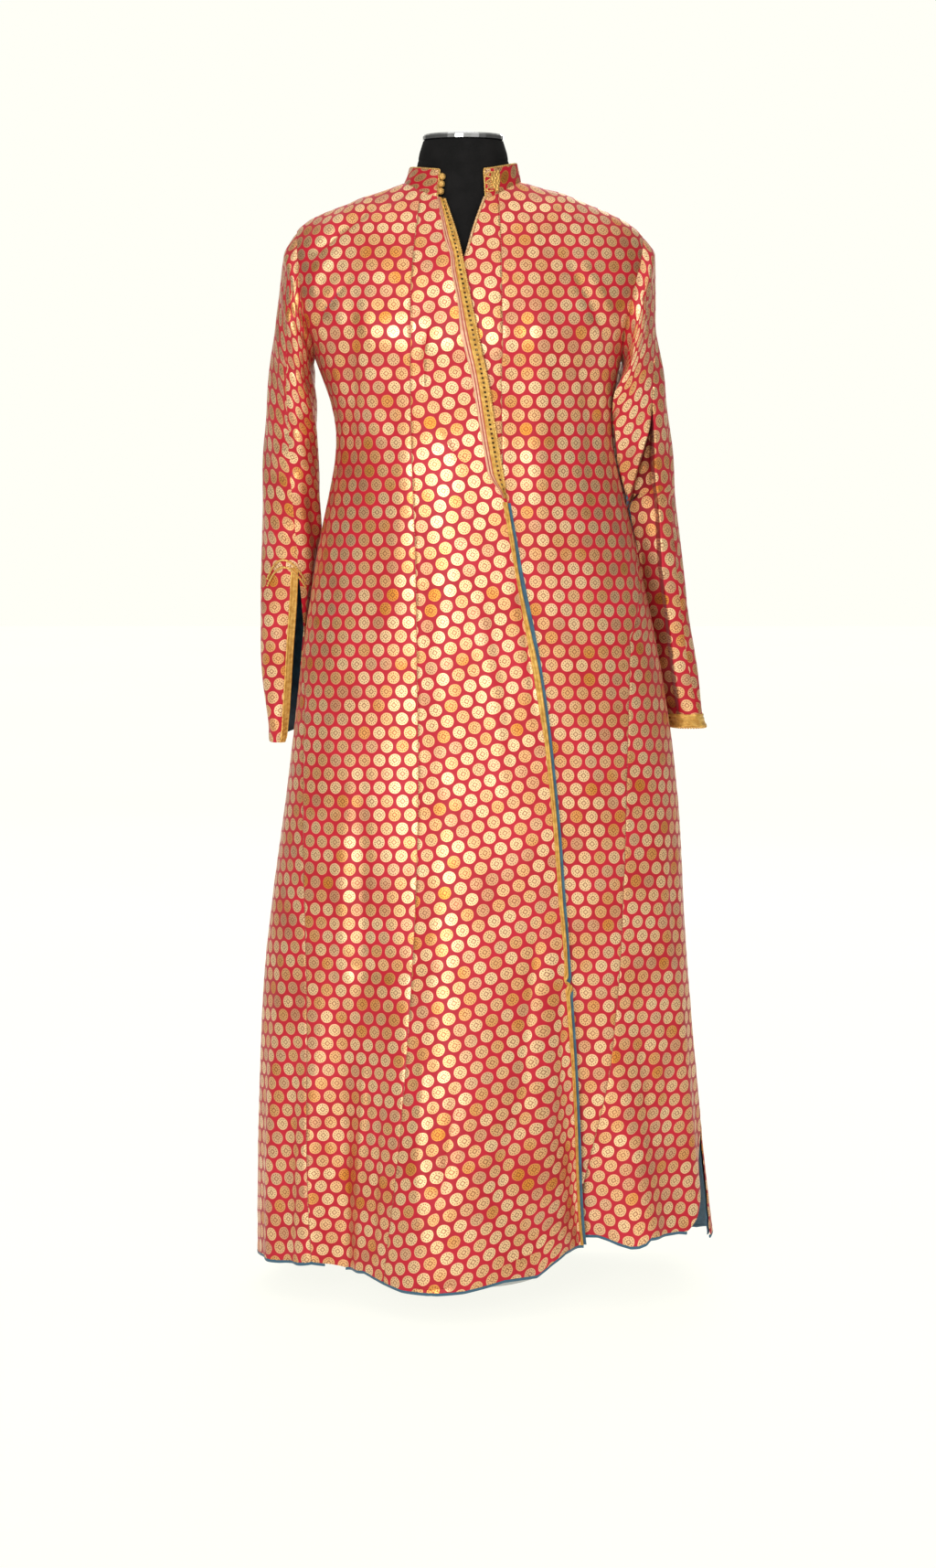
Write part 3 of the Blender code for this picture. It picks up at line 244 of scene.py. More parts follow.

# Creases given one by one: side, half width, height, then points of the line as x and z

CREASES = (
    ("front", 0.007, -0.0065, (-0.108, 1.317), (-0.150, 1.289), (-0.188, 1.253)),
    ("front", 0.011, 0.0043, (-0.115, 1.327), (-0.162, 1.298), (-0.193, 1.270)),
    ("front", 0.009, 0.0032, (-0.143, 1.278), (-0.173, 1.238), (-0.178, 1.206)),
    ("front", 0.005, -0.0029, (-0.062, 1.338), (-0.083, 1.329), (-0.100, 1.317)),
    ("front", 0.006, -0.0029, (-0.130, 1.238), (-0.167, 1.195), (-0.181, 1.161)),
    ("front", 0.026, 0.0043, (-0.105, 1.238), (-0.106, 1.131), (-0.105, 1.002)),
    ("front", 0.018, -0.0036, (-0.131, 1.206), (-0.135, 1.088), (-0.129, 0.980)),
    ("front", 0.005, -0.0023, (-0.041, 1.172), (-0.046, 1.140), (-0.045, 1.103)),
    ("front", 0.006, -0.0013, (-0.027, 1.056), (-0.006, 1.023), (0.020, 1.002)),
    ("front", 0.026, 0.0041, (0.089, 1.217), (0.092, 1.088), (0.094, 0.959)),
    ("front", 0.009, -0.0041, (0.126, 1.255), (0.154, 1.206), (0.176, 1.161)),
    ("front", 0.008, 0.0032, (0.139, 1.264), (0.169, 1.214), (0.184, 1.182)),
    ("front", 0.016, -0.0038, (0.145, 1.152), (0.157, 1.067), (0.153, 0.959)),
    ("front", 0.005, -0.0026, (0.102, 1.329), (0.145, 1.304), (0.184, 1.278)),
    ("front", 0.006, -0.0020, (0.065, 1.327), (0.091, 1.302), (0.102, 1.270)),
    ("front", 0.018, -0.0036, (-0.124, 0.664), (-0.122, 0.521), (-0.119, 0.366)),
    ("front", 0.016, 0.0026, (-0.148, 0.588), (-0.146, 0.477), (-0.140, 0.344)),
    ("front", 0.014, -0.0026, (-0.176, 0.417), (-0.105, 0.411), (-0.028, 0.408)),
    (
        "front", 0.020, -0.0048,
        (0.091, 0.470), (0.076, 0.377), (0.062, 0.286), (0.038, 0.198), (0.032, 0.111),
    ),
    ("front", 0.022, 0.0039, (0.080, 0.433), (0.067, 0.310), (0.047, 0.243), (0.016, 0.153)),
    ("front", 0.026, 0.0043, (0.104, 0.466), (0.095, 0.388), (0.091, 0.277), (0.071, 0.142)),
    ("front", 0.007, -0.0024, (0.117, 0.406), (0.133, 0.388), (0.150, 0.382)),
    ("front", 0.008, -0.0026, (-0.006, 0.277), (-0.015, 0.187), (-0.028, 0.097)),
    ("front", 0.010, 0.0024, (-0.039, 0.310), (-0.044, 0.187), (-0.039, 0.097)),
    ("front", 0.009, -0.0032, (-0.204, 0.310), (-0.206, 0.187), (-0.203, 0.068)),
    ("front", 0.008, 0.0026, (-0.224, 0.277), (-0.226, 0.176), (-0.224, 0.070)),
    ("front", 0.008, 0.0032, (-0.116, 0.310), (-0.116, 0.243), (-0.123, 0.153)),
    ("front", 0.009, -0.0030, (-0.090, 0.288), (-0.094, 0.187), (-0.097, 0.052)),
    ("front", 0.008, -0.0024, (-0.165, 0.254), (-0.170, 0.165), (-0.172, 0.063)),
    ("front", 0.010, -0.0034, (0.214, 0.388), (0.219, 0.321), (0.224, 0.243), (0.229, 0.142)),
    ("front", 0.009, 0.0032, (0.238, 0.411), (0.239, 0.299), (0.235, 0.153)),
    ("front", 0.009, -0.0026, (0.257, 0.588), (0.255, 0.477), (0.260, 0.366)),
    ("front", 0.008, 0.0024, (0.195, 0.310), (0.191, 0.221), (0.204, 0.120)),
    ("front", 0.003, -0.0016, (-0.053, 0.038), (-0.028, 0.038), (-0.004, 0.041)),
    ("front", 0.003, -0.0016, (0.027, 0.047), (0.056, 0.059), (0.078, 0.065)),
    ("front", 0.010, -0.0022, (0.059, 0.915), (0.076, 0.807), (0.090, 0.697)),
    ("front", 0.014, 0.0022, (0.016, 0.861), (0.038, 0.741), (0.051, 0.610)),
    ("right_sleeve", 0.006, -0.0030, (-0.213, 1.253), (-0.202, 1.218), (-0.189, 1.181)),
    ("right_sleeve", 0.007, 0.0026, (-0.220, 1.242), (-0.211, 1.201), (-0.191, 1.150)),
    ("right_sleeve", 0.005, -0.0024, (-0.207, 1.203), (-0.193, 1.172), (-0.178, 1.142)),
    ("right_sleeve", 0.006, -0.0022, (-0.229, 1.135), (-0.207, 1.131), (-0.183, 1.111)),
    ("right_sleeve", 0.006, -0.0024, (-0.176, 1.076), (-0.203, 1.056), (-0.227, 1.047)),
    ("right_sleeve", 0.007, 0.0022, (-0.176, 1.056), (-0.205, 1.032), (-0.234, 1.023)),
    ("right_sleeve", 0.006, -0.0024, (-0.179, 1.023), (-0.208, 1.001), (-0.239, 1.001)),
    ("right_sleeve", 0.007, -0.0020, (-0.183, 0.957), (-0.208, 0.943), (-0.237, 0.957)),
    ("right_sleeve", 0.007, 0.0020, (-0.190, 0.935), (-0.215, 0.924), (-0.239, 0.930)),
    ("left_sleeve", 0.006, -0.0030, (0.214, 1.253), (0.223, 1.209), (0.228, 1.164)),
    ("left_sleeve", 0.007, 0.0024, (0.232, 1.242), (0.239, 1.177), (0.244, 1.100)),
    ("left_sleeve", 0.006, -0.0022, (0.262, 0.979), (0.249, 0.957), (0.240, 0.950)),
    ("left_sleeve", 0.006, 0.0020, (0.267, 0.924), (0.258, 0.901), (0.247, 0.899)),
    ("left_sleeve", 0.006, -0.0020, (0.279, 0.846), (0.265, 0.828), (0.256, 0.828)),
    ("back", 0.012, -0.0034, (-0.020, 0.900), (-0.026, 0.700), (-0.018, 0.480)),
    ("back", 0.014, 0.0030, (0.030, 0.860), (0.038, 0.640), (0.030, 0.400)),
    ("back", 0.009, -0.0036, (-0.090, 0.560), (-0.098, 0.360), (-0.104, 0.120)),
    ("back", 0.010, 0.0034, (-0.060, 0.500), (-0.064, 0.320), (-0.058, 0.110)),
    ("back", 0.009, -0.0034, (0.112, 0.600), (0.120, 0.400), (0.131, 0.140)),
    ("back", 0.011, 0.0032, (0.150, 0.520), (0.160, 0.330), (0.176, 0.120)),
    ("back", 0.008, -0.0030, (0.010, 0.330), (0.004, 0.220), (0.008, 0.080)),
    ("back", 0.008, 0.0028, (0.060, 0.300), (0.066, 0.190), (0.061, 0.080)),
    ("back", 0.009, -0.0030, (-0.160, 0.420), (-0.170, 0.280), (-0.176, 0.110)),
    ("back", 0.010, -0.0026, (-0.120, 1.290), (-0.080, 1.240), (-0.030, 1.215)),
    ("back", 0.010, -0.0024, (0.124, 1.290), (0.082, 1.236), (0.036, 1.205)),
    ("back", 0.013, 0.0024, (-0.150, 1.190), (-0.120, 1.110), (-0.070, 1.050)),
    ("back", 0.013, 0.0022, (0.156, 1.180), (0.124, 1.104), (0.080, 1.052)),
    ("back", 0.007, -0.0024, (-0.096, 1.072), (-0.040, 1.050), (0.020, 1.046)),
    ("back", 0.006, -0.0020, (0.100, 1.036), (0.050, 1.024), (0.000, 1.020)),
    ("right_sleeve_back", 0.007, -0.0026, (-0.232, 1.150), (-0.208, 1.110), (-0.186, 1.080)),
    ("right_sleeve_back", 0.007, -0.0024, (-0.236, 1.040), (-0.210, 1.010), (-0.184, 0.990)),
    ("right_sleeve_back", 0.008, 0.0022, (-0.238, 0.960), (-0.214, 0.930), (-0.190, 0.915)),
    ("left_sleeve_back", 0.007, -0.0026, (0.240, 1.160), (0.216, 1.120), (0.196, 1.085)),
    ("left_sleeve_back", 0.007, -0.0024, (0.252, 1.050), (0.226, 1.014), (0.200, 0.990)),
    ("left_sleeve_back", 0.008, 0.0022, (0.262, 0.930), (0.240, 0.900), (0.214, 0.885)),
)

WAIST = 6
ARMHOLE_ROWS = 36
CLOTH = 0.0009
SEAM_DEPTH, SEAM_REACH, PUCKER = 0.0007, 0.0028, 0.00035

SEAM_LINE = 0.0010

# The panels' edges that are sewn to nothing: first and last column, -1 where free

FREE_EDGES = {"right_front_gore": (1, -1), "left_front_gore": (-1, 1), "back_lining": (-1, -1)}

SLEEVE_GRAIN = {"right": 4.0, "left": -3.0}

# The left sleeve's deep fold, from above: height, inner and outer border as x

RECESS = (
    (1.088, 0.2300, 0.2320), (1.060, 0.2270, 0.2340), (1.014, 0.2135, 0.2350),
    (0.973, 0.2030, 0.2395), (0.930, 0.1900, 0.2420), (0.888, 0.1800, 0.2450),
    (0.828, 0.1800, 0.2540), (0.768, 0.1800, 0.2610), (0.718, 0.1800, 0.2690),
    (0.690, 0.1800, 0.2700),
)

# The distance between the dots of the front braid

DOT_STEP = 0.0056


# Materials, built from nodes

class Shader:
    """A node material. Each call adds a node and returns its socket."""

    def __init__(self, name):
        self.material = bpy.data.materials.new(name)
        self.material.use_nodes = True
        self.tree = self.material.node_tree
        self.surface = self.tree.nodes["Principled BSDF"]
        self.place = self.tree.nodes.new("ShaderNodeUVMap").outputs[0]

    def put(self, socket, value):
        if isinstance(value, bpy.types.NodeSocket):
            self.tree.links.new(value, socket)
        elif isinstance(value, tuple) and len(socket.default_value) == 4:
            socket.default_value = (*value[:3], 1.0)
        else:
            socket.default_value = value

    def math(self, operation, *values, clamp=False):
        node = self.tree.nodes.new("ShaderNodeMath")
        node.operation, node.use_clamp = operation, clamp
        for socket, value in zip(node.inputs, values):
            self.put(socket, value)
        return node.outputs[0]

    def vector(self, operation, *values):
        node = self.tree.nodes.new("ShaderNodeVectorMath")
        node.operation = operation
        for socket, value in zip(node.inputs, values):
            self.put(socket, value)
        return node.outputs["Value" if operation == "LENGTH" else "Vector"]

    def step(self, value, low, high, start=0.0, end=1.0):
        """A soft step from start to end."""
        node = self.tree.nodes.new("ShaderNodeMapRange")
        node.interpolation_type = "SMOOTHSTEP"
        for socket, one in zip(node.inputs, (value, low, high, start, end)):
            self.put(socket, one)
        return node.outputs[0]

    def ring(self, value, low, high, soft=0.0003):
        rise = self.step(value, low - soft, low + soft)
        fall = self.step(value, high - soft, high + soft, 1.0, 0.0)
        return self.math("MULTIPLY", rise, fall)

    def colour(self, factor, a, b):
        node = self.tree.nodes.new("ShaderNodeMix")
        node.data_type = "RGBA"
        for index, value in ((0, factor), (6, a), (7, b)):
            self.put(node.inputs[index], value)
        return node.outputs[2]

    def pick(self, factor, a, b):
        node = self.tree.nodes.new("ShaderNodeMix")
        node.data_type = "VECTOR"
        for index, value in ((0, factor), (4, a), (5, b)):
            self.put(node.inputs[index], value)
        return node.outputs[1]

    def noise(self, scale, detail=2.0, place=None):
        node = self.tree.nodes.new("ShaderNodeTexNoise")
        self.put(node.inputs["Vector"], place or self.place)
        node.inputs["Scale"].default_value = scale
        node.inputs["Detail"].default_value = detail
        return node.outputs[0]

    def scatter(self, scale):
        """Three noise values at once."""
        node = self.tree.nodes.new("ShaderNodeTexNoise")
        self.put(node.inputs["Vector"], self.place)
        node.inputs["Scale"].default_value = scale
        return node.outputs["Color"]

    def chance(self, place):
        node = self.tree.nodes.new("ShaderNodeTexWhiteNoise")
        self.put(node.inputs["Vector"], place)
        return node.outputs["Value"], node.outputs["Color"]

    def axes(self, vector):
        node = self.tree.nodes.new("ShaderNodeSeparateXYZ")
        self.put(node.inputs[0], vector)
        return node.outputs[0], node.outputs[1]

    def attribute(self, name):
        node = self.tree.nodes.new("ShaderNodeAttribute")
        node.attribute_name = name
        return node.outputs["Fac"]

    def position(self):
        return self.tree.nodes.new("ShaderNodeTexCoord").outputs["Object"]

    def wave(self, value, pitch, start=0.0):
        """A sine of one metre value."""
        return self.math("SINE", self.math("MULTIPLY_ADD", value, 2 * math.pi / pitch, start))

    def bump(self, height, strength=1.0):
        node = self.tree.nodes.new("ShaderNodeBump")
        node.inputs["Distance"].default_value = 1.0
        node.inputs["Strength"].default_value = strength
        self.put(node.inputs["Height"], height)
        self.put(self.surface.inputs["Normal"], node.outputs[0])

    def finish(self, **values):
        for name, value in values.items():
            self.put(self.surface.inputs[name.replace("_", " ")], value)
        return self.material


REPEAT = (0.019, 0.0328, 1.0)
MEDALLION = 0.0075


def medallion_lattice(s, place, shift, salt):
    """The local place in a cell of a rectangular lattice, its distance from the middle, its cell."""
    scaled = s.vector("ADD", s.vector("DIVIDE", place, REPEAT), (shift, shift, 0.0))
    cell = s.vector("FLOOR", scaled)
    local = s.vector("SUBTRACT", s.vector("SUBTRACT", scaled, cell), (0.5, 0.5, 0.0))
    local = s.vector("MULTIPLY", local, (REPEAT[0], REPEAT[1], 0.0))
    return local, s.vector("LENGTH", local), s.vector("ADD", cell, (salt, salt * 2, 0.0))


def brocade():
    """Crimson silk with round gold medallions in staggered rows, each on its own hue."""
    s = Shader("brocade_silk")
    wobble = s.vector("SUBTRACT", s.scatter(90.0), (0.5, 0.5, 0.5))
    place = s.vector("MULTIPLY_ADD", wobble, (0.0009, 0.0009, 0.0), s.place)
    one, far_one, cell_one = medallion_lattice(s, place, 0.0, 3.0)
    two, far_two, cell_two = medallion_lattice(s, place, 0.5, 17.4)
    nearer = s.math("LESS_THAN", far_two, far_one)
    local = s.pick(nearer, one, two)
    cell = s.pick(nearer, cell_one, cell_two)
    far = s.math("MINIMUM", far_one, far_two)
    x, y = s.axes(local)
    around = s.math("ARCTAN2", y, x)
    lot, hues = s.chance(cell)
    second = s.axes(hues)[1]

    disc = s.step(far, MEDALLION - 0.0004, MEDALLION + 0.0002, 1.0, 0.0)
    crossed = s.math("ADD", s.math("ABSOLUTE", x), s.math("ABSOLUTE", y))
    spokes = s.math("COSINE", s.math("MULTIPLY", around, 12.0))
    specks = s.math("MULTIPLY", s.ring(far, 0.0044, 0.0059, 0.0004), s.step(spokes, -0.3, 0.4))
    petals = s.math("ABSOLUTE", s.math("COSINE", s.math("MULTIPLY", around, 2.0)))
    lobe = s.math("SUBTRACT", far, s.math("MULTIPLY", petals, 0.0010))
    square = s.ring(crossed, 0.0028, 0.0038, 0.0003)
    small = s.ring(lobe, 0.0010, 0.0018, 0.0003)
    line = s.math("MAXIMUM", specks, s.math("MAXIMUM", square, small))
    rim = s.ring(far, 0.0061, 0.0065, 0.0002)
    line = s.math("MAXIMUM", line, s.math("MULTIPLY", rim, 0.5))
    fleck = s.step(s.noise(950.0, 1.0), 0.40, 0.58)
    line = s.math("MULTIPLY", line, s.math("MULTIPLY_ADD", fleck, 0.45, 0.55))
    line = s.math("MAXIMUM", line, s.math("MULTIPLY", s.step(s.noise(1250.0, 1.0), 0.56, 0.66), 0.55))

    cream = s.colour(s.step(lot, 0.25, 0.75), (0.98, 0.70, 0.38), (0.83, 0.47, 0.20))
    gold = s.colour(s.step(second, 0.80, 0.96), cream, (0.74, 0.30, 0.045))
    gold = s.colour(s.step(second, 0.24, 0.06), gold, (0.68, 0.37, 0.20))
    broad = s.noise(14.0, 2.0)
    gold = s.colour(s.step(broad, 0.35, 0.68, 0.0, 0.45), gold, (0.93, 0.74, 0.45))
    thread = s.math("MULTIPLY_ADD", s.wave(s.axes(s.place)[1], 0.00052), 0.5, 0.5)
    gold = s.colour(s.math("MULTIPLY", line, 0.98), gold, (0.20, 0.030, 0.012))
    gold = s.colour(s.math("MULTIPLY", thread, 0.16), gold, (0.50, 0.10, 0.05))

    ground = s.colour(s.step(broad, 0.3, 0.7), (0.40, 0.005, 0.017), (0.49, 0.008, 0.027))
    ground = s.colour(s.math("MULTIPLY", thread, 0.14), ground, (0.34, 0.003, 0.018))
    hue = s.colour(disc, ground, gold)
    seam = s.attribute("seam")
    stitch = s.step(s.wave(s.axes(s.place)[1], 0.0034), 0.3, 0.7)
    hue = s.colour(s.math("MULTIPLY", s.step(seam, 0.35, 0.9), 0.5), hue, (0.13, 0.010, 0.018))
    lit = s.math("MULTIPLY", s.step(seam, 0.55, 0.95), stitch)
    hue = s.colour(s.math("MULTIPLY", lit, 0.55), hue, (0.62, 0.30, 0.12))
    height = s.math("MULTIPLY_ADD", disc, 0.00010, s.math("MULTIPLY", thread, 0.00001))
    height = s.math("MULTIPLY_ADD", s.math("MULTIPLY", line, disc), -0.00005, height)
    height = s.math("MULTIPLY_ADD", s.noise(420.0, 3.0), 0.00012, height)
    s.bump(height, 0.75)
    return s.finish(
        Base_Color=hue,
        Metallic=s.math("MULTIPLY", disc, 0.74),
        Roughness=s.math("MULTIPLY_ADD", disc, -0.09, 0.50),
        Specular_IOR_Level=0.32,
        Sheen_Weight=0.05,
        Sheen_Roughness=0.4,
        Sheen_Tint=(1.0, 0.55, 0.62),
    )


def cotton():
    """Plain blue cotton, as the lining, the facing and the hems' piping."""
    s = Shader("blue_cotton_weave")
    u, v = s.axes(s.place)
    weave = s.math("MULTIPLY", s.wave(u, 0.0009), s.wave(v, 0.0009))
    patch = s.noise(60.0, 3.0)
    hue = s.colour(s.step(patch, 0.3, 0.7), (0.018, 0.062, 0.105), (0.040, 0.120, 0.185))
    hue = s.colour(s.step(weave, -0.4, 0.9, 0.0, 0.35), hue, (0.09, 0.20, 0.28))
    s.bump(s.math("MULTIPLY_ADD", weave, 0.00006, s.math("MULTIPLY", patch, 0.0004)), 0.7)
    return s.finish(Base_Color=hue, Roughness=0.85, Sheen_Weight=0.2, Sheen_Roughness=0.5)


def braid_gold(name, dots, pale=False):
    """Gold thread laid side by side, with a row of dark dots at that distance from the edge."""
    s = Shader(name)
    u, v = s.axes(s.place)
    slant = s.math("ADD", v, s.math("MULTIPLY", u, 1.2))
    thread = s.wave(slant, 0.0011)
    patch = s.noise(160.0, 3.0)
    hue = s.colour(s.step(patch, 0.3, 0.7), (0.60, 0.31, 0.055), (0.86, 0.56, 0.15))
    hue = s.colour(s.step(thread, -1.0, -0.2, 0.55, 0.0), hue, (0.34, 0.13, 0.03))
    if pale:
        side = s.step(u, 0.0103, 0.0108)
        soft = s.colour(s.step(patch, 0.3, 0.7), (0.74, 0.42, 0.24), (0.84, 0.56, 0.38))
        soft = s.colour(s.step(thread, -1.0, -0.2, 0.45, 0.0), soft, (0.50, 0.12, 0.09))
        hue = s.colour(side, hue, soft)
        groove = s.math("MAXIMUM", s.ring(u, 0.0101, 0.0113), s.ring(u, 0.0130, 0.0142))
        hue = s.colour(s.math("MULTIPLY", groove, 0.85), hue, (0.42, 0.025, 0.04))
    if dots:
        along = s.math("COSINE", s.math("MULTIPLY", v, 2 * math.pi / DOT_STEP))
        away = s.math("ABSOLUTE", s.math("SUBTRACT", u, dots))
        dot = s.math("MULTIPLY", s.step(along, 0.0, 0.5), s.step(away, 0.0010, 0.0015, 1.0, 0.0))
        hue = s.colour(dot, hue, (0.035, 0.012, 0.010))
    height = s.math("MULTIPLY_ADD", thread, 0.00012, s.math("MULTIPLY", patch, 0.0003))
    s.bump(height, 0.8)
    return s.finish(Base_Color=hue, Metallic=0.55, Roughness=0.40)


def plain_gold(name, dark=(0.34, 0.13, 0.03), light=(0.84, 0.55, 0.17)):
    """Gold thread on pieces that have no lengthwise pattern of their own."""
    s = Shader(name)
    place = s.position()
    patch = s.noise(900.0, 3.0, place)
    broad = s.noise(90.0, 2.0, place)
    hue = s.colour(s.step(patch, 0.35, 0.60), dark, light)
    hue = s.colour(s.step(broad, 0.3, 0.7, 0.0, 0.4), hue, (0.70, 0.38, 0.09))
    s.bump(s.math("MULTIPLY", patch, 0.0005), 0.7)
    return s.finish(Base_Color=hue, Metallic=0.55, Roughness=0.40)


def jersey():
    """The form's black knit cover."""
    s = Shader("black_knit")
    place = s.position()
    patch = s.noise(40.0, 3.0, place)
    grain = s.noise(1600.0, 2.0, place)
    hue = s.colour(s.step(patch, 0.3, 0.7), (0.003, 0.003, 0.0032), (0.007, 0.0065, 0.007))
    hue = s.colour(s.step(grain, 0.45, 0.70, 0.0, 0.4), hue, (0.015, 0.014, 0.014))
    s.bump(s.math("MULTIPLY_ADD", grain, 0.0003, s.math("MULTIPLY", patch, 0.0006)), 0.7)
    return s.finish(Base_Color=hue, Roughness=0.85, Specular_IOR_Level=0.15)


def metal(name, low, high, roughness, scratch):
    """Polished or satin metal with fine wear."""
    s = Shader(name)
    place = s.position()
    wear = s.noise(35.0, 4.0, place)
    fine = s.noise(700.0, 2.0, s.vector("MULTIPLY", place, (1.0, 1.0, 0.08)))
    hue = s.colour(s.step(wear, 0.3, 0.7), low, high)
    rough = s.math("MULTIPLY_ADD", s.step(wear, 0.4, 0.7), scratch, roughness)
    s.bump(s.math("MULTIPLY", fine, 0.00006), 0.5)
    return s.finish(Base_Color=hue, Metallic=0.95, Roughness=rough)


def floor_paper():
    s = Shader("pale_floor")
    place = s.position()
    patch = s.noise(0.8, 2.0, place)
    hue = s.colour(s.step(patch, 0.3, 0.7), (0.10, 0.10, 0.095), (0.12, 0.12, 0.11))
    return s.finish(
        Base_Color=hue, Roughness=0.9, Emission_Color=(1.0, 1.0, 0.925), Emission_Strength=0.91
    )


BROCADE = brocade()
LINING = cotton()
GOLD_BRAID = braid_gold("gold_braid_dotted", 0.0047, True)
GOLD_BAND = braid_gold("gold_band_thread", None)
GOLD_TRIM = braid_gold("gold_trim_dotted", 0.0062)
GOLD_SLIT = braid_gold("gold_slit_thread", None)
GOLD_CORD = plain_gold("gold_cord_thread")
GOLD_PLAIN = plain_gold("gold_embroidery", (0.26, 0.10, 0.03), (0.80, 0.50, 0.14))
GOLD_PALE = plain_gold("pale_gold_thread", (0.50, 0.20, 0.11), (0.88, 0.62, 0.36))
JERSEY = jersey()
CHROME = metal("polished_chrome", (0.30, 0.30, 0.31), (0.42, 0.42, 0.43), 0.12, 0.08)
STEEL = metal("satin_steel", (0.50, 0.50, 0.49), (0.62, 0.62, 0.60), 0.38, 0.12)


# The smooth form of the robe, on arrays of angles

TABLES = {
    "sections": (SECTIONS, SECTION_COLUMNS), "lines": (LINES, LINE_COLUMNS),
    "right": (RIGHT_SLEEVE, SLEEVE_COLUMNS), "left": (LEFT_SLEEVE, SLEEVE_COLUMNS),
}


@functools.lru_cache(maxsize=None)
def row_at(name, at):
    """A table's values at a place between its rows, on a smooth curve through them."""
    table, columns = TABLES[name]
    last = len(table) - 1
    at = min(max(at, 0.0), float(last))
    low = min(int(at), last - 1)
    t = at - low
    before, a = np.array(table[max(low - 1, 0)]), np.array(table[low])
    b, after = np.array(table[low + 1]), np.array(table[min(low + 2, last)])
    slope_a, slope_b = (b - before) / 2, (after - a) / 2
    curve = (
        (2 * t**3 - 3 * t**2 + 1) * a + (t**3 - 2 * t**2 + t) * slope_a
        + (3 * t**2 - 2 * t**3) * b + (t**3 - t**2) * slope_b
    )
    return dict(zip(columns, curve))


def smooth_step(t):
    t = np.clip(t, 0.0, 1.0)
    return t * t * (3 - 2 * t)


def fold_height(angle, z):
    total = np.zeros_like(z)
    for values in FOLDS:
        fold = dict(zip(FOLD_COLUMNS, values))
        middle = fold["angle"] + fold["lean"] * (z - fold["full"])
        away = np.abs((angle - middle + 180) % 360 - 180) / fold["half_angle"]
        fade = smooth_step((fold["top"] - z) / (fold["top"] - fold["full"]))
        total += fold["out"] * fade * np.cos(np.minimum(away, 1.0) * math.pi / 2) ** 2
    return total


def ripple(angle, z):
    """The slight unevenness of hanging cloth, calm near the neck."""
    turn = np.radians(angle)
    calm = smooth_step((1.33 - z) / 0.12)
    total = np.zeros_like(z)
    for around, up, start, height in RIPPLES:
        total += height * np.sin(around * turn + up * z + start)
    return total * calm


RIPPLES = [
    (k, random.uniform(-9, 9) + (14 if n % 3 == 0 else 0), random.uniform(0, 6.28), 0.0034 / k)
    for n, k in enumerate((5, 7, 8, 11, 13, 16, 19, 23, 27, 31))
]


def crease_height(side, x, z):
    """The height of the listed creases, at places seen from the front or back."""
    total = np.zeros_like(z)
    for where, half, height, *line in CREASES:
        across, up = [p[0] for p in line], [p[1] for p in line]
        if where != side or z.min() > max(up) + half or z.max() < min(up) - half:
            continue
        if x.min() > max(across) + half or x.max() < min(across) - half:
            continue
        lengths = [math.dist(a, b) for a, b in zip(line, line[1:])]
        whole, done = sum(lengths), 0.0
        near, along = np.full_like(z, 9.0), np.zeros_like(z)
        for (ax, az), (bx, bz), length in zip(line, line[1:], lengths):
            t = ((x - ax) * (bx - ax) + (z - az) * (bz - az)) / length**2
            t = np.clip(t, 0.0, 1.0)
            away = np.hypot(x - ax - t * (bx - ax), z - az - t * (bz - az))
            closer = away < near
            near = np.where(closer, away, near)
            along = np.where(closer, (done + t * length) / whole, along)
            done += length
        taper = np.sin(math.pi * np.clip(along, 0.02, 0.98)) ** 0.6
        total += height * taper * np.cos(np.minimum(near / half, 1.0) * math.pi / 2) ** 2
    return total


def section_points(section, angle):
    turn = np.radians(angle)
    power = 2 / section["square"]
    across = np.sign(np.sin(turn)) * np.abs(np.sin(turn)) ** power
    along = np.sign(np.cos(turn)) * np.abs(np.cos(turn)) ** power
    x = across * np.where(across > 0, section["left"], section["right"])
    y = -along * np.where(along > 0, section["front"], section["back"])
    share = np.cos(turn) ** 2
    z_side = np.where(across > 0, section["z_left"], section["z_right"])
    z_end = np.where(along > 0, section["z_front"], section["z_back"])
    return np.stack((x, y, z_side + (z_end - z_side) * share), axis=-1)


def robe_points(angle, level, detail=True):
    """Points of the robe's middle surface at a level, with its folds and creases."""
    angle = np.asarray(angle, dtype=float)
    point = section_points(row_at("sections", float(level)), angle)
    out = point * np.array((1.0, 1.4, 0.0))
    out /= np.linalg.norm(out, axis=-1, keepdims=True)
    height = fold_height(angle, point[..., 2])
    if detail:
        height = height + ripple(angle, point[..., 2])
        turn = np.cos(np.radians(angle))
        for side, share in (("front", turn), ("back", -turn)):
            seen = smooth_step(share * 6)
            height = height + seen * crease_height(side, point[..., 0], point[..., 2])
    return point + out * height[..., None]


def robe_frame(angle, level, detail=True):
    """Points and outward directions."""
    angle = np.asarray(angle, dtype=float)
    step, turn = 0.02, 0.4
    around = robe_points(angle + turn, level, detail) - robe_points(angle - turn, level, detail)
    low, high = max(level - step, 0.0), min(level + step, float(NECKLINE))
    up = robe_points(angle, high, detail) - robe_points(angle, low, detail)
    across = np.cross(around, up)
    across /= np.linalg.norm(across, axis=-1, keepdims=True)
    return robe_points(angle, level, detail), across


def angle_of(line, level):
    """The angle at which a named line of the front crosses a level."""
    section = row_at("sections", float(level))
    x = row_at("lines", float(level))[line]
    half = section["left"] if x > 0 else section["right"]
    share = min(abs(x) / half, 1.0) ** (section["square"] / 2)
    return math.copysign(math.degrees(math.asin(share)), x)


# The armhole, an oval window in the robe's side between two levels

ARMHOLE_ANGLE = 25.0
ARMHOLE_MIDDLE, ARMHOLE_HALF = (SHOULDER_TIP + UNDERARM) / 2, (SHOULDER_TIP - UNDERARM) / 2


def armhole_level(turn):
    return ARMHOLE_MIDDLE + ARMHOLE_HALF * math.cos(turn)


